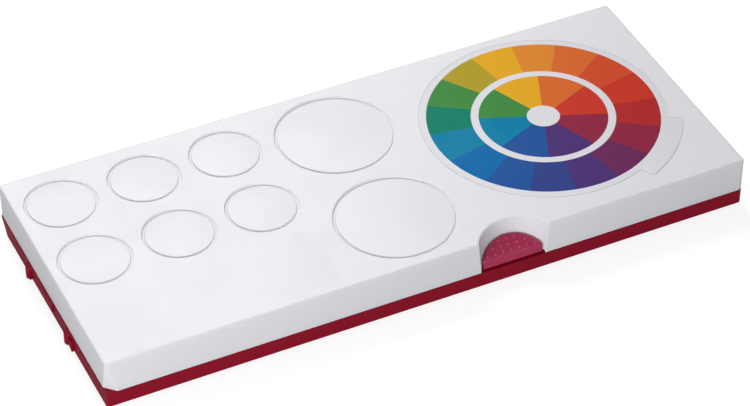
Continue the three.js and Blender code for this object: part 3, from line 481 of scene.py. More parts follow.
class Case:
    """The lid's outline at any height and depth inside its skin, from the frame and the sizes."""

    def __init__(self, sizes):
        low, high = node_box("lid")
        self.sizes = sizes
        self.half_length = high[0] - sizes.draft
        self.half_depth = -low[1] - sizes.draft
        self.top = high[2]
        button_low, button_high = node_box("release_button")
        self.notch = ((button_low[0] + button_high[0]) / 2, -self.half_depth - sizes.notch_back)

    def share(self, height):
        """0 at the lid's foot, 1 under its top edge."""
        span = self.top - self.sizes.edge - self.sizes.parting
        return min(max((height - self.sizes.parting) / span, 0.0), 1.0)

    def notch_radius(self, height):
        """Radius of the finger notch at a height."""
        sizes = self.sizes
        share = (height - sizes.parting) / (self.top - sizes.parting)
        return sizes.notch_foot + (sizes.notch_top - sizes.notch_foot) * share

    def outline(self, height, inset):
        """A rounded rectangle with a round bite in its front, and a mask that is 1 on the bite.

        The corner radii, and the straight cut of the left front corner, run from the foot's to
        the top's in proportion to the height. The bite meets the front in a small arc that
        touches both."""
        sizes = self.sizes
        share = self.share(height)
        reach = sizes.draft * (1 - share) - inset
        x, y = self.half_length + reach, self.half_depth + reach
        least = sizes.foot
        near, rear = (max(foot + (sizes.top_corner - foot) * share - inset, least)
                      for foot in (sizes.right_corner, sizes.rear_corner))
        cut = max(sizes.cut + (sizes.cut_top - sizes.cut) * share - inset, least)
        edge = max(sizes.notch_edge - inset, least)
        radius = self.notch_radius(height) + inset
        level = edge - y
        across = math.sqrt((radius + edge) ** 2 - (level - self.notch[1]) ** 2)
        lean = math.atan2(level - self.notch[1], across)
        left = (self.notch[0] - across, level)
        right = (self.notch[0] + across, level)
        parts = [
            arc((x - near, near - y), near, -QUARTER, 0, CORNER_STEPS),
            arc((x - rear, y - rear), rear, 0, QUARTER, CORNER_STEPS),
            arc((rear - x, y - rear), rear, QUARTER, 2 * QUARTER, CORNER_STEPS),
            cut_corner(-x, -y, cut, min(sizes.cut_soft, cut)),
            arc(left, edge, -QUARTER, -lean, EDGE_STEPS),
            arc(self.notch, radius, math.pi - lean, lean, NOTCH_STEPS)[1:-1],
            arc(right, edge, math.pi + lean, 3 * QUARTER, EDGE_STEPS),
        ]
        bite = 5
        mask = np.concatenate([np.full(len(part), float(i == bite))
                               for i, part in enumerate(parts)])
        return np.concatenate(parts), mask

    def wells(self):
        """Centre, radius and sides of each mixing well."""
        sizes = self.sizes
        for row in range(2):
            for column in range(3):
                yield (sizes.small_left - self.half_length + column * sizes.small_pitch,
                       self.half_depth - sizes.small_rear - row * sizes.small_rows,
                       sizes.small_well, SMALL_WELL_SIDES)
            yield (sizes.large_left - self.half_length,
                   self.half_depth - sizes.large_rear - row * sizes.large_rows,
                   sizes.large_well, LARGE_WELL_SIDES)


def lid_shell(skin, case):
    """The lid's walls as one loft of outlines, from the top round the foot to the ceiling."""
    sizes = case.sizes
    ceiling = case.top - sizes.top
    support = sizes.edge / 2
    bends = np.linspace(0, QUARTER, EDGE_STEPS + 1)
    levels = [(case.top, sizes.edge + support)]
    levels += [(case.top - sizes.edge * (1 - math.cos(b)), sizes.edge * (1 - math.sin(b)))
               for b in bends]
    heights = np.linspace(case.top - sizes.edge, sizes.parting + sizes.foot, 5)
    levels += [(z, 0.0) for z in heights[1:]]
    levels += [(sizes.parting + sizes.foot * (1 - math.sin(b)), sizes.foot * (1 - math.cos(b)))
               for b in bends[1:]]
    levels += [(sizes.parting + sizes.foot * (1 - math.cos(b)),
                sizes.wall - sizes.foot * (1 - math.sin(b))) for b in bends]
    levels += [(z, sizes.wall) for z in heights[::-1][1:] if z < ceiling - sizes.edge]
    levels += [(ceiling - sizes.edge * (1 - math.sin(b)),
                sizes.wall + sizes.edge * (1 - math.cos(b))) for b in bends]
    levels.append((ceiling, sizes.wall + sizes.edge + support))
    rings = []
    for height, inset in levels:
        outline, mask = case.outline(height, inset)
        lift = sizes.notch_rise if height <= sizes.parting + sizes.foot else 0.0
        rings.append(with_height(outline, height + lift * mask))
    numbers = skin.loft(rings)
    return numbers[0], numbers[-1]


def well_profile(sizes, radius):
    """Radius and height pairs of one well seen from above: a ring groove, then a low dome.

    The dome's height falls with the square of the distance from its middle."""
    inner = radius - sizes.groove
    slope = 0.4 * MM
    soft = 0.22 * MM
    groove = softened([
        (radius + sizes.groove / 3, 0),
        (radius, 0),
        (radius - slope, -sizes.groove_depth),
        (inner + slope, -sizes.groove_depth),
        (inner, -sizes.dome_edge),
        (inner - sizes.groove / 3, -sizes.dome_edge),
    ], soft)
    shares = np.linspace(1 - sizes.groove / 3 / inner, 0, DOME_STEPS)
    fall = (sizes.dome_edge - sizes.dome_crown) * shares ** 2
    dome = np.column_stack([inner * shares, -sizes.dome_crown - fall])
    return np.concatenate([groove[:-1], dome])


def bowl_profile(sizes, radius):
    """Radius and depth pairs of one well seen from below: a raised ring around a shallow bowl.

    The bowl's depth falls with the square of the distance from its middle."""
    inner = radius - sizes.groove
    soft = 0.3 * MM
    dish_share = 0.97
    ring = softened([
        (radius + sizes.groove / 3, 0),
        (radius, 0),
        (radius, -sizes.bowl_rim),
        (inner, -sizes.bowl_rim),
        (inner * dish_share, 0),
    ], soft)
    shares = np.linspace(dish_share, 0, DOME_STEPS)
    fall = 1 - (shares / dish_share) ** 2
    dish = np.column_stack([inner * shares, sizes.bowl_depth * fall])
    return np.concatenate([ring[:-1], dish])


def label_outline(sizes, grow):
    """The label's disc with its tab, grown by a distance; the tab's four corners are rounded."""
    tab_start = math.radians(-67)
    tab_end = math.radians(-27)
    widen = grow / (sizes.radius + sizes.tab)
    first, last = tab_start - widen, tab_end + widen
    keep = 3 * MM / sizes.radius
    disc = arc((0, 0), sizes.radius + grow, last + keep, first - keep + TURN, LABEL_STEPS)
    outer = arc((0, 0), sizes.radius + sizes.tab + grow, first + keep, last - keep, TAB_STEPS)
    corners = [arc((0, 0), r + grow, a, a, 0) for r, a in (
        (sizes.radius, first), (sizes.radius + sizes.tab, first),
        (sizes.radius + sizes.tab, last), (sizes.radius, last))]
    points = np.concatenate([disc, corners[0], corners[1], outer, corners[2], corners[3]])
    radii = [0.0] * len(disc) + [sizes.corner] * 2 + [0.0] * len(outer) + [sizes.corner] * 2
    return rounded(points, radii, closed=True)


def label_centre(sizes):
    """The disc's centre, from the frame's label: left and rear sides touch the disc alone."""
    low, high = node_box("colour_guide_label")
    return np.array([low[0] + sizes.radius, high[1] - sizes.radius])


def add_ears(skin, case, hinge):
    """Two ears that reach down from the rear wall, each with a pin through its round end."""
    sizes = case.sizes
    y, z = case.half_depth + hinge.setback, sizes.parting - hinge.drop
    wall = case.half_depth + sizes.draft
    inner = wall - sizes.wall * 0.875
    outer = wall - sizes.wall / 4
    rise = 3.4 * MM
    soft = 0.2 * MM
    barrel_end = 0.28 * math.pi
    barrel = arc((y, z), hinge.barrel, -math.pi, barrel_end, 20)
    outline = np.concatenate([barrel, [(outer, sizes.parting + rise),
                                       (inner, sizes.parting + rise / 3), (inner, z + soft)]])
    reach = hinge.ear / 2 + hinge.pin_reach
    pin = rod_profile(hinge.pin, -reach, reach, 0.3 * MM)
    for x in (-hinge.spread, hinge.spread):
        skin.prism(outline, x - hinge.ear / 2, x + hinge.ear / 2, soft)
        skin.turned(pin, (x, y, z), ROD_SIDES, "x")


def rod_profile(radius, low, high, edge):
    """Radius and height pairs of a rod with rounded ends."""
    return softened([(0, low), (radius, low), (radius, high), (0, high)], edge)


def add_keeper(skin, case):
    """The barb inside the lid that the button's hook holds."""
    ceiling = case.top - case.sizes.top
    front = node_box("release_button")[1][1] + 1.5 * MM
    tip = front - 1.2 * MM
    rear = front + 1.6 * MM
    ledge = 12.2 * MM + 2.9 * MM
    lip = 1.5 * MM
    half = 9.2 * MM
    outline = [(front, ceiling + MM), (front, ledge), (tip, ledge), (tip, ledge - lip / 2),
               (front, ledge - lip), (rear, ledge - lip), (rear, ceiling + MM)]
    skin.prism(outline, case.notch[0] - half, case.notch[0] + half, 0.15 * MM)


def build_lid(case, label, hinge):
    """The whole lid: shell, wells outside, bowls inside, label recess, hinge ears and keeper."""
    sizes = case.sizes
    skin = Skin()
    top_loop, ceiling_loop = lid_shell(skin, case)
    ceiling = case.top - sizes.top
    top_holes, ceiling_holes = [], []
    for x, y, radius, sides in case.wells():
        outside = skin.turned(well_profile(sizes, radius), (x, y, case.top), sides)
        inside = skin.turned(bowl_profile(sizes, radius), (x, y, ceiling), sides)
        top_holes.append(outside[0])
        ceiling_holes.append(inside[0])
    centre = label_centre(label)
    depth = label.thickness - label.rise
    soft = 0.08 * MM
    wall = softened([(label.gap + 0.5 * MM, 0), (label.gap, 0), (label.gap, -depth),
                     (label.gap - 0.5 * MM, -depth)], soft)
    rings = [with_height(label_outline(label, grow) + centre, case.top + z) for grow, z in wall]
    numbers = skin.loft(rings)
    skin.fill([numbers[-1]])
    top_holes.append(numbers[0])
    skin.fill([top_loop, *top_holes])
    skin.fill([ceiling_loop, *ceiling_holes])
    add_ears(skin, case, hinge)
    add_keeper(skin, case)
    return skin


def build_label(label):
    """The label: a thin plate with a softly rounded rim."""
    low, high = node_box("colour_guide_label")
    skin = Skin()
    outline = label_outline(label, 0.0) + label_centre(label)
    skin.prism(outline, low[2], high[2], 0.12 * MM, axis="z")
    return skin


def pad_outline(case, button, height, inset):
    """A half disc: straight in front, round behind, with rounded upright corners."""
    front = -case.half_depth + button.front
    share = (height - case.sizes.parting - button.rise) / (button.front_top - button.rise)
    front += button.lean * min(max(share, 0.0), 1.0) + inset
    radius = case.notch_radius(height) - button.gap - inset
    edge = max(button.corner - inset, 0.1 * MM)
    level = front + edge - case.notch[1]
    across = math.sqrt((radius - edge) ** 2 - level ** 2)
    lean = math.atan2(level, across)
    x, y = case.notch
    return np.concatenate([
        arc((x + across, y + level), edge, -QUARTER, lean, EDGE_STEPS),
        arc((x, y), radius, lean, math.pi - lean, NOTCH_STEPS)[1:-1],
        arc((x - across, y + level), edge, math.pi - lean, 3 * QUARTER, EDGE_STEPS),
        np.column_stack([np.linspace(x - across, x + across, PAD_FRONT_STEPS + 1)[1:-1],
                         np.full(PAD_FRONT_STEPS - 1, front)]),
    ])


def build_button(case, button):
    """The thumb button: a hollow half-round pad with grip pips, two arms, a hub and a hook."""
    skin = Skin()
    parting = case.sizes.parting
    foot = parting + button.rise
    front = -case.half_depth + button.front
    front_top = parting + button.front_top
    rear_top = case.top - button.rear_drop
    back = case.notch[1] + case.sizes.notch_top
    slope = (rear_top - front_top) / (back - front)

    def top_at(y):
        return front_top + slope * (y - front)

    middle_share = 0.42
    middle = np.array([case.notch[0], front + (back - front) * middle_share])
    soft = 0.2 * MM
    levels = np.linspace(foot + soft, front_top - button.brow, 4)
    rings = [with_height(pad_outline(case, button, z, inset), z)
             for z, inset in [(foot, soft), *((z, 0.0) for z in levels)]]
    rear_brow = 0.5 * MM
    for bend in np.linspace(0, QUARTER, 8)[1:]:
        outline = pad_outline(case, button, front_top, 0.0)
        ahead = np.clip((outline[:, 1] - front) / (back - front), 0, 1)
        brow = button.brow * (1 - ahead) + rear_brow * ahead
        pull = (brow * (1 - math.sin(QUARTER - bend)))[:, None]
        inwards = middle - outline
        inwards /= np.linalg.norm(inwards, axis=1, keepdims=True)
        outline = outline + inwards * pull
        rings.append(with_height(outline, top_at(outline[:, 1]) - brow * (1 - math.sin(bend))))
    edge = rings[-1][:, :2]
    for share in (0.9, 0.7, 0.45, 0.2):
        outline = middle + (edge - middle) * share
        rings.append(with_height(outline, top_at(outline[:, 1])))
    numbers = skin.loft(rings)
    skin.fan(numbers[-1], (*middle, top_at(middle[1])))
    under = [with_height(pad_outline(case, button, z, button.skin), z)
             for z in (foot, front_top - button.brow - button.skin)]
    for share in (0.85, 0.5):
        outline = middle + (under[-1][:, :2] - middle) * share
        under.append(with_height(outline, top_at(outline[:, 1]) - button.skin))
    inner = skin.loft(under)
    skin.fan(inner[-1], (*middle, top_at(middle[1]) - button.skin))
    skin.loft(skin.points[np.stack([numbers[0], inner[0]])])
    add_pips(skin, case, button, front, top_at)
    add_lever(skin, case, button, front, top_at)
    return skin


def add_pips(skin, case, button, front, top_at):
    """Rows of low round pips, whose height falls with the cube of the radius."""
    shares = np.linspace(1, 0, 6)
    for row, count in enumerate(PIP_ROWS):
        y = front + button.pip_front + row * button.pip_rows
        for i in range(count):
            x = case.notch[0] + (i - (count - 1) / 2) * button.pip_pitch
            shape = [(0, -button.pip_height), (button.pip, -button.pip_height)]
            shape += [(button.pip * s, button.pip_height * (1 - s ** 3)) for s in shares]
            skin.turned(shape, (x, y, top_at(y)), PIP_SIDES)


def add_lever(skin, case, button, front, top_at):
    """Two arms from the pad down to a hub on the pin, and the hook that rises behind it."""
    pin_low, pin_high = node_box("button_pin")
    y = (pin_low[1] + pin_high[1]) / 2
    z = (pin_low[2] + pin_high[2]) / 2
    hub = 2.6 * MM
    low = z - hub
    soft = 0.25 * MM
    arm = front + 4.2 * MM
    arm_back = arm + 2.6 * MM
    top = top_at(arm) - button.skin / 2
    outline = [(arm, top), (arm, low + 2.8 * MM), (arm + 1.4 * MM, low + 0.7 * MM), (y, low),
               (y, low + 4.2 * MM), (arm_back, low + 3.5 * MM), (arm_back, top)]
    arm_spread = 8 * MM
    arm_half = 1.2 * MM
    for x in (case.notch[0] - arm_spread, case.notch[0] + arm_spread):
        skin.prism(outline, x - arm_half, x + arm_half, soft)
    hub_half = 10.4 * MM
    pin = (pin_high[2] - pin_low[2]) / 2 + 0.2 * MM
    rim = softened([(pin, -hub_half), (hub, -hub_half), (hub, hub_half), (pin, hub_half)], soft)
    angles = round_angles(ROD_SIDES)
    rings = [np.stack([np.full(ROD_SIDES, h), r * np.cos(angles), r * np.sin(angles)], -1)
             for r, h in [*rim, rim[0]]]
    skin.loft(np.array(rings) + (case.notch[0], y, z))
    hook = y + 0.2 * MM
    behind = hook + 2 * MM
    nose = behind + 0.7 * MM
    tip = 17.6 * MM
    half = 9.2 * MM
    outline = [(hook, z + pin), (behind, z + pin), (behind, tip - 2.2 * MM),
               (nose, tip - 2.2 * MM), (nose, tip - 1.1 * MM), (behind, tip), (hook, tip)]
    skin.prism(outline, case.notch[0] - half, case.notch[0] + half, soft)


def build_spring(button):
    """Wire of round section carried along a helix of equal pitch."""
    low, high = node_box("button_spring")
    centre = (low + high) / 2
    wire = button.wire / 2
    radius = (high[0] - low[0]) / 2 - wire - SPRING_EASE
    steps = SPRING_TURNS * SPRING_STEPS
    t = np.linspace(0, 1, steps + 1)
    angle = t * SPRING_TURNS * TURN
    height = low[2] + wire + (high[2] - low[2] - button.wire) * t
    path = np.column_stack([centre[0] + radius * np.cos(angle), centre[1] + radius * np.sin(angle),
                            height])
    outwards = np.column_stack([np.cos(angle), np.sin(angle), np.zeros_like(angle)])
    climb = (high[2] - low[2]) / (SPRING_TURNS * TURN * radius)
    ahead = np.column_stack([-np.sin(angle), np.cos(angle), np.full_like(angle, climb)])
    ahead /= np.linalg.norm(ahead, axis=1, keepdims=True)
    across = np.cross(ahead, outwards)
    turn = round_angles(WIRE_SIDES)
    rings = (path[:, None] + wire * (np.cos(turn)[None, :, None] * outwards[:, None]
                                     + np.sin(turn)[None, :, None] * across[:, None]))
    return Skin().capped(rings, path[0], path[-1])


def square_ring(centre, half, corner, height):
    """A rounded square, with as many points as a pan's round mouth has."""
    parts = [arc((centre[0] + sx * (half - corner), centre[1] + sy * (half - corner)), corner,
                 start * QUARTER, (start + 1) * QUARTER, PAN_STEPS)
             for sx, sy, start in ((1, 1, 0), (-1, 1, 1), (-1, -1, 2), (1, -1, 3))]
    return with_height(np.concatenate(parts), height)


def round_ring(centre, radius, height):
    """A circle whose points face those of the rounded square."""
    parts = [arc(centre, radius, (start + 0.04) * QUARTER, (start + 0.96) * QUARTER, PAN_STEPS)
             for start in range(4)]
    return with_height(np.concatenate(parts), height)


def build_pan(node):
    """One pan: a tapered square cup under a square flange, with a round hollow.

    Squares have a half width, a corner radius and a height, circles a radius and a height."""
    low, high = node_box(node)
    centre = (low[:2] + high[:2]) / 2
    flange = (high[0] - low[0]) / 2
    body = flange - 0.75 * MM
    shoulder = high[2] - 1.2 * MM
    corner = 4 * MM
    soft = 0.3 * MM
    mouth = 15 * MM
    foot_radius = 13.4 * MM
    floor = low[2] + 1.5 * MM
    top = high[2]
    squares = [
        (body - 2.0 * MM, 2.5 * MM, low[2]),
        (body - 1.6 * MM, 3 * MM, low[2] + 0.2 * MM),
        (body - 1.5 * MM, 3.1 * MM, low[2] + 0.6 * MM),
        (body, corner, shoulder),
        (flange - soft / 2, corner, shoulder),
        (flange, corner, shoulder + soft / 2),
        (flange, corner, top - soft),
        (flange - soft * 0.3, corner - soft * 0.3, top - soft * 0.3),
        (flange - soft, corner - soft, top),
        (flange - 0.9 * MM, corner - 0.9 * MM, top),
    ]
    circles = [
        (mouth + 0.5 * MM, top),
        (mouth + soft, top),
        (mouth + soft * 0.3, top - soft * 0.3),
        (mouth, top - soft),
        (foot_radius + 0.1 * MM, floor + 0.6 * MM),
        (foot_radius - 0.5 * MM, floor),
    ]
    rings = [square_ring(centre, *square) for square in squares]
    rings += [round_ring(centre, *circle) for circle in circles]
    return Skin().capped(rings, (*centre, low[2]), (*centre, floor))


def build_cake(node):
    """One pressed cake: a bevelled rim, a pressed ring and a shallow dish in the middle.

    With s the share of the dish's radius, its depth is half a millimetre times (1 - s squared)
    to the power 0.8. A fine seeded unevenness of up to 0.03 mm breaks the pressed face."""
    low, high = node_box(node)
    centre = (low + high) / 2
    radius = (high[0] - low[0]) / 2
    height = high[2] - low[2]
    side = [(0, 0), (radius - 1.0 * MM, 0), (radius - 0.8 * MM, 0.3 * MM)]
    rim = [(radius, height - 0.9 * MM), (radius - 0.25 * MM, height - 0.4 * MM),
           (radius - 0.9 * MM, height - 0.08 * MM), (radius - 1.6 * MM, height - 0.02 * MM)]
    shares = np.linspace(1, 0, 12)
    inner = radius - 2.6 * MM
    fall = 0.5 * MM * (1 - shares ** 2) ** 0.8
    dish = np.column_stack([inner * shares, height - 0.02 * MM - fall])
    skin = Skin()
    profile = np.concatenate([side, rim, dish])
    skin.turned(profile, (centre[0], centre[1], low[2]), PAN_SIDES)
    random = np.random.default_rng(len(node))
    top = skin.points[:, 2] > high[2] - 0.7 * MM
    skin.points[top, 2] -= random.uniform(0, 0.03 * MM, top.sum())
    return skin


def build_tube():
    """A soft tube: ovals from the flat crimp to the round shoulder, then the neck.

    The half thickness grows with the sine of the distance from the crimp, and the half width
    shrinks with that sine's square. Each section is a superellipse, whose power falls from 8 at
    the crimp to an ellipse's 2. Pressed lines run across the crimp."""
    low, high = node_box("white_paint_tube")
    axis = (low + high) / 2
    radius = (high[2] - low[2]) / 2
    half_width = (high[1] - low[1]) / 2
    start = low[0]
    crimp = 6 * MM
    body_end = start + 80 * MM
    thin = 0.8 * MM
    neck = 4 * MM
    collar = neck + 0.5 * MM
    shoulder = 0.8 * MM
    ridge = 0.12 * MM
    boxy, oval = 8.0, 2.0
    swell_end, boxy_end = 0.48, 0.2
    stations = [(start + crimp * share, half_width - 0.1 * MM, thin - ridge * (i % 2), boxy)
                for i, share in enumerate(np.linspace(0, 1, 25))]
    for share in np.linspace(0, 1, 22)[1:]:
        grow = math.sin(min(share / swell_end, 1.0) * QUARTER)
        stations.append((start + crimp + (body_end - start - crimp) * share,
                         half_width + (radius - half_width) * grow ** 2,
                         thin + (radius - thin) * grow,
                         oval + (boxy - oval) * (1 - min(share / boxy_end, 1.0))))
    for bend in np.linspace(0, QUARTER, 5)[1:]:
        size = radius - shoulder * (1 - math.cos(bend))
        stations.append((body_end + shoulder * math.sin(bend), size, size, oval))
    stations += [(body_end + 3.2 * MM, collar, collar, oval),
                 (body_end + 3.5 * MM, neck, neck, oval), (high[0], neck, neck, oval)]
    angles = round_angles(TUBE_SIDES)
    c, s = np.cos(angles), np.sin(angles)
    rings = [np.column_stack([np.full(TUBE_SIDES, x),
                              axis[1] + wide * np.sign(c) * np.abs(c) ** (2 / bulge),
                              axis[2] + thick * np.sign(s) * np.abs(s) ** (2 / bulge)])
             for x, wide, thick, bulge in stations]
    return Skin().capped(rings, (start, *axis[1:]), (high[0], *axis[1:]))


def build_cap():
    """A fluted screw cap: the radius ripples with a cosine, and both ends are plain."""
    low, high = node_box("tube_cap")
    axis = (low + high) / 2
    radius = (high[2] - low[2]) / 2
    tip = radius - 0.8 * MM
    bore = 4.3 * MM
    depth = 7.3 * MM
    soft = 0.3 * MM
    end = high[0] - low[0]
    flute = 0.2 * MM
    stations = [(bore, depth, 0), (bore, soft, 0), (bore + soft, 0, 0),
                (radius - 0.4 * MM, 0, 0), (radius, 0.4 * MM, 0), (radius, 1.2 * MM, 0)]
    stations += [(radius + (tip - radius) * s, 1.4 * MM + (end - 2.6 * MM) * s, flute)
                 for s in np.linspace(0, 1, 6)]
    stations += [(tip, end - 0.7 * MM, 0), (tip - soft, end - 0.15 * MM, 0),
                 (tip - 0.8 * MM, end, 0)]
    sides = CAP_FLUTES * 6
    angles = round_angles(sides)
    rings = []
    for size, along, ripple in stations:
        r = size - ripple * (1 + np.cos(angles * CAP_FLUTES))
        rings.append(np.column_stack([np.full(sides, low[0] + along), axis[1] + r * np.cos(angles),
                                      axis[2] + r * np.sin(angles)]))
    return Skin().capped(rings, (low[0] + depth, *axis[1:]), (high[0], *axis[1:]))


def build_pin():
    """The button's steel pin, with rounded ends."""
    low, high = node_box("button_pin")
    half, radius = (high[0] - low[0]) / 2, (high[2] - low[2]) / 2
    skin = Skin()
    skin.turned(rod_profile(radius, -half, half, 0.25 * MM), (low + high) / 2, ROD_SIDES, "x")
    return skin


def connect(tree, node, inputs):
    """Sets a node's inputs; each is a value, or a socket of another node to link from."""
    for name, value in inputs.items():
        if isinstance(value, bpy.types.NodeSocket):
            tree.links.new(value, node.inputs[name])
        else:
            node.inputs[name].default_value = value


def add(tree, kind, inputs=None, **settings):
    """Adds a shader node; its kind is given without the prefix that all kinds share."""
    node = tree.nodes.new("ShaderNode" + kind)
    for name, value in settings.items():
        setattr(node, name, value)
    connect(tree, node, inputs or {})
    return node


def maths(tree, operation, *values, **settings):
    """The result of one sum on values and sockets."""
    return add(tree, "Math", dict(enumerate(values)), operation=operation, **settings).outputs[0]


def scaled(tree, value, factor):
    """A colour times a factor."""
    return add(tree, "VectorMath", {0: value, "Scale": factor}, operation="SCALE").outputs[0]


def place(tree):
    """The point on the object, in its own metres."""
    return add(tree, "TexCoord").outputs["Object"]


def stretched(tree, scale):
    """The point on the object with each axis scaled."""
    return add(tree, "Mapping", {"Vector": place(tree), "Scale": scale}).outputs[0]


def noise(tree, vector, scale, detail, **others):
    """Smooth noise around a half; others are further inputs of its node."""
    inputs = {"Vector": vector, "Scale": scale, "Detail": detail, **others}
    return add(tree, "TexNoise", inputs).outputs[0]


def remap(tree, value, low, high, start=0.0, end=1.0, **settings):
    """A value between start and end carried over to low and high, and held there."""
    return add(tree, "MapRange", {"Value": value, "From Min": start, "From Max": end,
                                  "To Min": low, "To Max": high}, **settings).outputs[0]


def relief(tree, height, distance, strength):
    """The normal of a small relief."""
    return add(tree, "Bump", {"Height": height, "Distance": distance,
                              "Strength": strength}).outputs[0]


def shared(title, inputs, outputs):
    """Makes a node group's builder hand out one group, built on the first call.

    The builder gets the tree and the sockets of the inputs, and returns those of the outputs."""
    def kind(label):
        return "NodeSocketColor" if label == "Colour" else "NodeSocketFloat"

    def keep(build):
        def group():
            if title in bpy.data.node_groups:
                return bpy.data.node_groups[title]
            tree = bpy.data.node_groups.new(title, "ShaderNodeTree")
            for label, value in inputs.items():
                tree.interface.new_socket(label, in_out="INPUT",
                                          socket_type=kind(label)).default_value = value
            for label in outputs:
                tree.interface.new_socket(label, in_out="OUTPUT", socket_type=kind(label))
            given = tree.nodes.new("NodeGroupInput").outputs
            connect(tree, tree.nodes.new("NodeGroupOutput"), build(tree, given))
            return tree
        return group
    return keep


@shared("Spark Skin", {"Grain": 3000.0}, ["Height"])
def spark_skin(tree, given):
    """Fine matte skin of a spark-eroded mould: two sizes of noise added to one height."""
    point = place(tree)
    fine = noise(tree, point, given["Grain"], 2.0, Roughness=0.6)
    coarse = noise(tree, point, maths(tree, "MULTIPLY", given["Grain"], 0.31), 1.0)
    return {"Height": maths(tree, "ADD", fine, coarse)}


@shared("Handling", {"Size": 40.0}, ["Mask"])
def handling(tree, given):
    """Soft smears and small specks from handling, as a mask from 0 to 1."""
    point = place(tree)
    smear = noise(tree, point, given["Size"], 4.0, Roughness=0.62, Distortion=0.8)
    soft = remap(tree, smear, 0.0, 1.0, 0.38, 0.72, interpolation_type="SMOOTHSTEP")
    speck = noise(tree, point, maths(tree, "MULTIPLY", given["Size"], 9.0), 3.0)
    fleck = remap(tree, speck, 0.0, 0.35, 0.6, 0.78)
    return {"Mask": maths(tree, "ADD", soft, fleck, use_clamp=True)}


@shared("Mould Flow", {"Colour": (1, 1, 1, 1), "Drift": 0.03}, ["Colour"])
def mould_flow(tree, given):
    """Faint drift of a plastic's colour where it flowed into the mould."""
    flow = noise(tree, stretched(tree, (5.0, 11.0, 11.0)), 1.0, 3.0, Distortion=1.2)
    amount = maths(tree, "MULTIPLY", maths(tree, "SUBTRACT", flow, 0.5), given["Drift"])
    return {"Colour": scaled(tree, given["Colour"], maths(tree, "ADD", amount, 1.0))}


@shared("Pigment", {"Colour": (1, 1, 1, 1)}, ["Colour", "Height"])
def pigment(tree, given):
    """Pressed pigment: grains of slightly different tone, and their height."""
    point = place(tree)
    both = maths(tree, "ADD", noise(tree, point, 1400.0, 4.0, Roughness=0.7),
                 noise(tree, point, 160.0, 3.0))
    tone = remap(tree, both, 0.82, 1.16, 0.6, 1.4)
    return {"Colour": scaled(tree, given["Colour"], tone), "Height": both}


def blank_material(name):
    """A new material with only its Principled shader and its output, and that shader."""
    made = bpy.data.materials.new(name)
    made.use_nodes = True
    return made, made.node_tree, made.node_tree.nodes["Principled BSDF"]


def grain_normal(tree, grain, distance):
    """The normal of a spark-eroded skin of that grain and depth."""
    skin = add(tree, "Group", {"Grain": grain}, node_tree=spark_skin())
    return relief(tree, skin.outputs["Height"], distance, 0.6)


def handled_roughness(tree, size, low, high):
    """Roughness between two values, by the handling mask."""
    mask = add(tree, "Group", {"Size": size}, node_tree=handling())
    return remap(tree, mask.outputs["Mask"], low, high)


def plastic(name, value, rough, specular=0.35, drift=0.035):
    """Moulded plastic: fine skin, faint flow marks and handling smears."""
    made, tree, shader = blank_material(name)
    flow = add(tree, "Group", {"Colour": (*value, 1.0), "Drift": drift}, node_tree=mould_flow())
    connect(tree, shader, {
        "Base Color": flow.outputs["Colour"],
        "Roughness": handled_roughness(tree, 30.0, rough, rough + 0.07),
        "Normal": grain_normal(tree, 2600.0, 0.012 * MM),
        "IOR": 1.49,
        "Specular IOR Level": specular,
    })
    return made


def cake_material(name, value):
    """Dry pressed paint: matte, grainy, with a faint bloom."""
    made, tree, shader = blank_material(name)
    grains = add(tree, "Group", {"Colour": (*value, 1.0)}, node_tree=pigment())
    connect(tree, shader, {
        "Base Color": grains.outputs["Colour"],
        "Roughness": handled_roughness(tree, 120.0, 0.7, 0.9),
        "Normal": relief(tree, grains.outputs["Height"], 0.05 * MM, 0.7),
        "Sheen Weight": 0.06,
    })
    return made


def steel(name, value, stretch):
    """Drawn steel: fine lines along the part, in tone and roughness."""
    made, tree, shader = blank_material(name)
    lines = noise(tree, stretched(tree, stretch), 1.0, 3.0)
    connect(tree, shader, {
        "Base Color": (*value, 1.0),
        "Metallic": 1.0,
        "Roughness": remap(tree, lines, 0.16, 0.42),
        "Normal": relief(tree, lines, 0.01 * MM, 1.0),
    })
    return made


def hue_ramp(tree, angle, hues):
    """One colour for each equal sector of a turn, the first centred on the +X side."""
    share = maths(tree, "MULTIPLY_ADD", angle, 1 / TURN, 1 + 0.5 / len(hues))
    ramp = add(tree, "ValToRGB", {0: maths(tree, "FRACT", share)})
    ramp.color_ramp.interpolation = "CONSTANT"
    points = ramp.color_ramp.elements
    while len(points) < len(hues):
        points.new(0.5)
    for i, hue in enumerate(hues):
        points[i].position = i / len(hues)
        points[i].color = (*hue, 1.0)
    return ramp.outputs["Color"]


def label_material(label, colours):
    """Printed film: hue sectors by the angle about the label's middle, bands by the radius."""
    made, tree, shader = blank_material("printed_label_film")
    x, y = label_centre(label)
    moved = add(tree, "Mapping", {"Vector": place(tree), "Location": (-x, -y, 0)}).outputs[0]
    flat = add(tree, "VectorMath", {0: moved, 1: (1, 1, 0)}, operation="MULTIPLY").outputs[0]
    radius = add(tree, "VectorMath", {0: flat}, operation="LENGTH").outputs["Value"]
    parts = add(tree, "SeparateXYZ", {0: flat}).outputs
    angle = maths(tree, "ARCTAN2", parts["Y"], parts["X"])
    paper = (*colours.film, 1.0)
    printed = paper
    bands = [(label.print_radius, HUES), (label.ring_inner, None),
             (label.core_radius, HUES[::2]), (label.hub_radius, None)]
    for limit, hues in bands:
        band = hue_ramp(tree, angle, hues) if hues else paper
        mix = add(tree, "Mix", {0: maths(tree, "LESS_THAN", radius, limit), 6: printed, 7: band},
                  data_type="RGBA")
        printed = mix.outputs[2]
    connect(tree, shader, {
        "Base Color": printed,
        "Roughness": handled_roughness(tree, 45.0, 0.42, 0.54),
        "Normal": grain_normal(tree, 1800.0, 0.006 * MM),
        "Specular IOR Level": 0.04,
    })
    return made


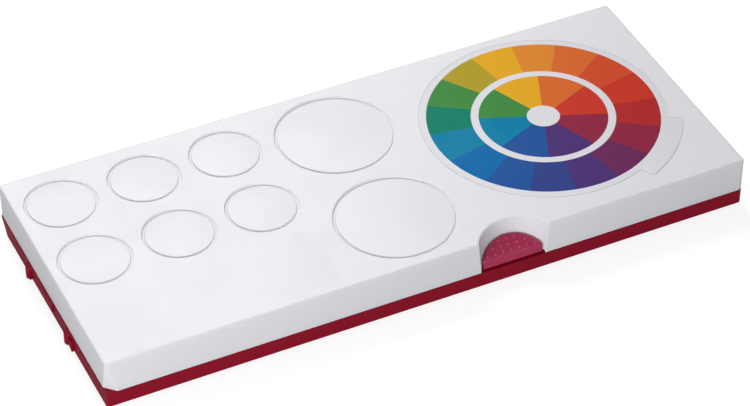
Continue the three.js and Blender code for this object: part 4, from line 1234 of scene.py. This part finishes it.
class PaintBoxOperator(Operator):
    """Shared options of the paint box's operators"""

    bl_options = {"REGISTER", "UNDO"}


class PAINTBOX_OT_lid(PaintBoxOperator):
    """Adds the white lid with its wells, notch, recess and hinge ears"""

    bl_idname = "paint_box.add_lid"
    bl_label = "Lid"

    def execute(self, context):
        scene = context.scene
        finish = plastic("white_moulded_plastic", scene.paint_colours.white, rough=0.36)
        build_lid(Case(scene.paint_lid), scene.paint_label, scene.paint_hinge).piece(
            "lid_shell", finish, "lid", "white_shell", "lid")
        return {"FINISHED"}


class PAINTBOX_OT_label(PaintBoxOperator):
    """Adds the round colour guide label"""

    bl_idname = "paint_box.add_label"
    bl_label = "Colour guide"

    def execute(self, context):
        scene = context.scene
        finish = label_material(scene.paint_label, scene.paint_colours)
        build_label(scene.paint_label).piece("colour_guide", finish, "lid", "label_film",
                                             "colour_guide_label")
        return {"FINISHED"}


class PAINTBOX_OT_button(PaintBoxOperator):
    """Adds the thumb button with its lever, pin and return spring"""

    bl_idname = "paint_box.add_button"
    bl_label = "Thumb button"

    def execute(self, context):
        scene = context.scene
        colours = scene.paint_colours
        button = scene.paint_button
        finish = plastic("crimson_button_plastic", colours.button, rough=0.3, specular=0.8)
        build_button(Case(scene.paint_lid), button).piece(
            "thumb_button", finish, "button", "crimson_button", "release_button")
        finish = steel("drawn_pin_steel", colours.steel, (60.0, 6000.0, 6000.0))
        build_pin().piece("pivot_pin", finish, "tray", "pin_steel", "button_pin")
        finish = steel("spring_wire_steel", colours.steel, (900.0, 900.0, 5000.0))
        spring = build_spring(button).piece("return_spring", finish, "tray", "spring_steel",
                                            "button_spring")
        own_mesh(spring)
        return {"FINISHED"}


class PAINTBOX_OT_tray(PaintBoxOperator):
    """Gives the crimson tray its finish"""

    bl_idname = "paint_box.add_tray"
    bl_label = "Tray"

    def execute(self, context):
        crimson = context.scene.paint_colours.crimson
        finish = plastic("crimson_moulded_plastic", crimson, rough=0.46, specular=0.2)
        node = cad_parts["base_tray"]
        node.data.materials.clear()
        node.data.materials.append(finish)
        weld = node.modifiers.new("weld", "WELD")
        weld.merge_threshold = 0.001 * MM
        flat = node.modifiers.new("flat", "DECIMATE")
        flat.decimate_type = "DISSOLVE"
        flat.angle_limit = math.radians(0.5)
        soft = node.modifiers.new("soft", "BEVEL")
        soft.width = 0.25 * MM
        soft.segments = 2
        soft.limit_method = "ANGLE"
        soft.angle_limit = math.radians(40)
        soft.harden_normals = True
        return {"FINISHED"}


class PAINTBOX_OT_paints(PaintBoxOperator):
    """Adds the twelve pans and their pressed cakes"""

    bl_idname = "paint_box.add_paints"
    bl_label = "Pans and cakes"

    def execute(self, context):
        finish = plastic("pan_white_plastic", context.scene.paint_colours.pan, rough=0.4)
        for name, value in CAKES.items():
            pan, cake, paint = f"pan_{name}", f"cake_{name}", f"paint_{name}"
            build_pan(pan).piece(f"cup_{name}", finish, "tray", "pan_plastic", pan)
            build_cake(cake).piece(f"tablet_{name}", cake_material(paint, value), "tray", paint,
                                   cake)
        return {"FINISHED"}


class PAINTBOX_OT_tube(PaintBoxOperator):
    """Adds the tube of white and its fluted cap"""

    bl_idname = "paint_box.add_tube"
    bl_label = "Tube and cap"

    def execute(self, context):
        colours = context.scene.paint_colours
        finish = plastic("tube_white_film", colours.pan, rough=0.3, drift=0.05)
        build_tube().piece("squeeze_tube", finish, "tray", "tube_laminate", "white_paint_tube")
        finish = plastic("cap_white_plastic", colours.pan, rough=0.45)
        build_cap().piece("screw_cap", finish, "cap", "cap_plastic", "tube_cap")
        return {"FINISHED"}


def area_lamp(name, spot, target, size, energy, tint):
    """A rectangular lamp whose -Z axis looks at the target."""
    data = bpy.data.lights.new(name, "AREA")
    data.shape = "RECTANGLE"
    data.size, data.size_y = size
    data.energy = energy
    data.color = tint
    turn = (Vector(target) - Vector(spot)).to_track_quat("-Z", "Y")
    new_object(name, data).matrix_world = Matrix.Translation(spot) @ turn.to_matrix().to_4x4()


def place_camera(studio):
    """Camera round the middle of the box's top: turn, tilt, distance, then a small roll."""
    data = bpy.data.cameras.new("camera")
    data.sensor_width = 36.0
    data.lens = studio.lens
    azimuth, elevation, roll = studio.azimuth, studio.elevation, studio.roll
    back = Vector((math.sin(azimuth) * math.cos(elevation),
                   -math.cos(azimuth) * math.cos(elevation), math.sin(elevation)))
    right = Vector((0, 0, 1)).cross(back).normalized()
    up = back.cross(right)
    across = right * math.cos(roll) + up * math.sin(roll)
    upwards = up * math.cos(roll) - right * math.sin(roll)
    target = Vector((0, 0, node_box("lid")[1][2]))
    spot = target + back * studio.distance - across * studio.off_right - upwards * studio.off_up
    data.clip_end = 20.0
    made = new_object("camera", data)
    made.matrix_world = Matrix.Translation(spot) @ Matrix(
        (across, upwards, back)).transposed().to_4x4()
    bpy.context.scene.camera = made


def seen_directly(tree):
    """The light path node, and a mask of what the camera sees, also through clear things."""
    paths = add(tree, "LightPath").outputs
    return paths, maths(tree, "MAXIMUM", paths["Is Camera Ray"], paths["Is Transmission Ray"])


def stage_material():
    """Pale floor: it keeps the shadow, and a little light of its own lifts it to the backdrop."""
    made, tree, shader = blank_material("pale_floor")
    tree.nodes.remove(shader)
    paths, seen = seen_directly(tree)
    gloss = maths(tree, "MULTIPLY", paths["Is Glossy Ray"], FLOOR_GLOSS)
    lift = maths(tree, "MULTIPLY_ADD", seen, FLOOR_GLOW, gloss)
    glow = add(tree, "Emission", {"Strength": lift}).outputs[0]
    paint = add(tree, "BsdfDiffuse", {"Color": FLOOR_PAINT}).outputs[0]
    total = add(tree, "AddShader", {0: glow, 1: paint}).outputs[0]
    connect(tree, tree.nodes["Material Output"], {"Surface": total})
    return made


def white_world(strength):
    """Even white surroundings: full white for the camera, dimmer as light."""
    world = bpy.data.worlds.new("white_room")
    world.use_nodes = True
    tree = world.node_tree
    seen = seen_directly(tree)[1]
    connect(tree, tree.nodes["Background"], {"Color": (1.0, 1.0, 1.0, 1.0),
                                             "Strength": remap(tree, seen, strength, 1.0)})
    bpy.context.scene.world = world


class PAINTBOX_OT_stage(PaintBoxOperator):
    """Adds the floor, the lamps, the white surroundings and the camera"""

    bl_idname = "paint_box.add_stage"
    bl_label = "Studio"

    def execute(self, context):
        studio = context.scene.paint_studio
        mesh = bpy.data.meshes.new("floor")
        corners = [(x * FLOOR_HALF, y * FLOOR_HALF, FLOOR_HEIGHT)
                   for x, y in ((-1, -1), (1, -1), (1, 1), (-1, 1))]
        mesh.from_pydata(corners, [], [(0, 1, 2, 3)])
        mesh.materials.append(stage_material())
        floor = new_object("floor", mesh)
        for name, (spot, target, size, tint) in LAMPS.items():
            area_lamp(f"{name}_lamp", spot, target, size, getattr(studio, name), tint)
        white_world(studio.ambient)
        place_camera(studio)
        context.scene.view_settings.view_transform = "Standard"
        return {"FINISHED"}


class PAINTBOX_PT_pieces(Panel):
    """Lists the pieces of the paint box"""

    bl_label = "Paint Box"
    bl_space_type = "VIEW_3D"
    bl_region_type = "UI"
    bl_category = "Paint Box"

    def draw(self, context):
        column = self.layout.column(align=True)
        for operator in OPERATORS:
            column.operator(operator.bl_idname, text=operator.bl_label)


OPERATORS = (PAINTBOX_OT_lid, PAINTBOX_OT_label, PAINTBOX_OT_button, PAINTBOX_OT_tray,
             PAINTBOX_OT_paints, PAINTBOX_OT_tube, PAINTBOX_OT_stage)


def register():
    """Registers the classes and hangs the settings on the scene."""
    for group in GROUPS.values():
        bpy.utils.register_class(group)
    for operator in OPERATORS:
        bpy.utils.register_class(operator)
    bpy.utils.register_class(PAINTBOX_PT_pieces)
    for name, group in GROUPS.items():
        setattr(bpy.types.Scene, name, PointerProperty(type=group))


def unregister():
    """Takes the settings and the classes away again."""
    for name in GROUPS:
        delattr(bpy.types.Scene, name)
    bpy.utils.unregister_class(PAINTBOX_PT_pieces)
    for operator in reversed(OPERATORS):
        bpy.utils.unregister_class(operator)
    for group in reversed(GROUPS.values()):
        bpy.utils.unregister_class(group)


def main():
    """Builds every piece and the studio."""
    register()
    for operator in OPERATORS:
        name = operator.bl_idname.split(".")[1]
        getattr(bpy.ops.paint_box, name)()


if __name__ == "__main__":
    main()
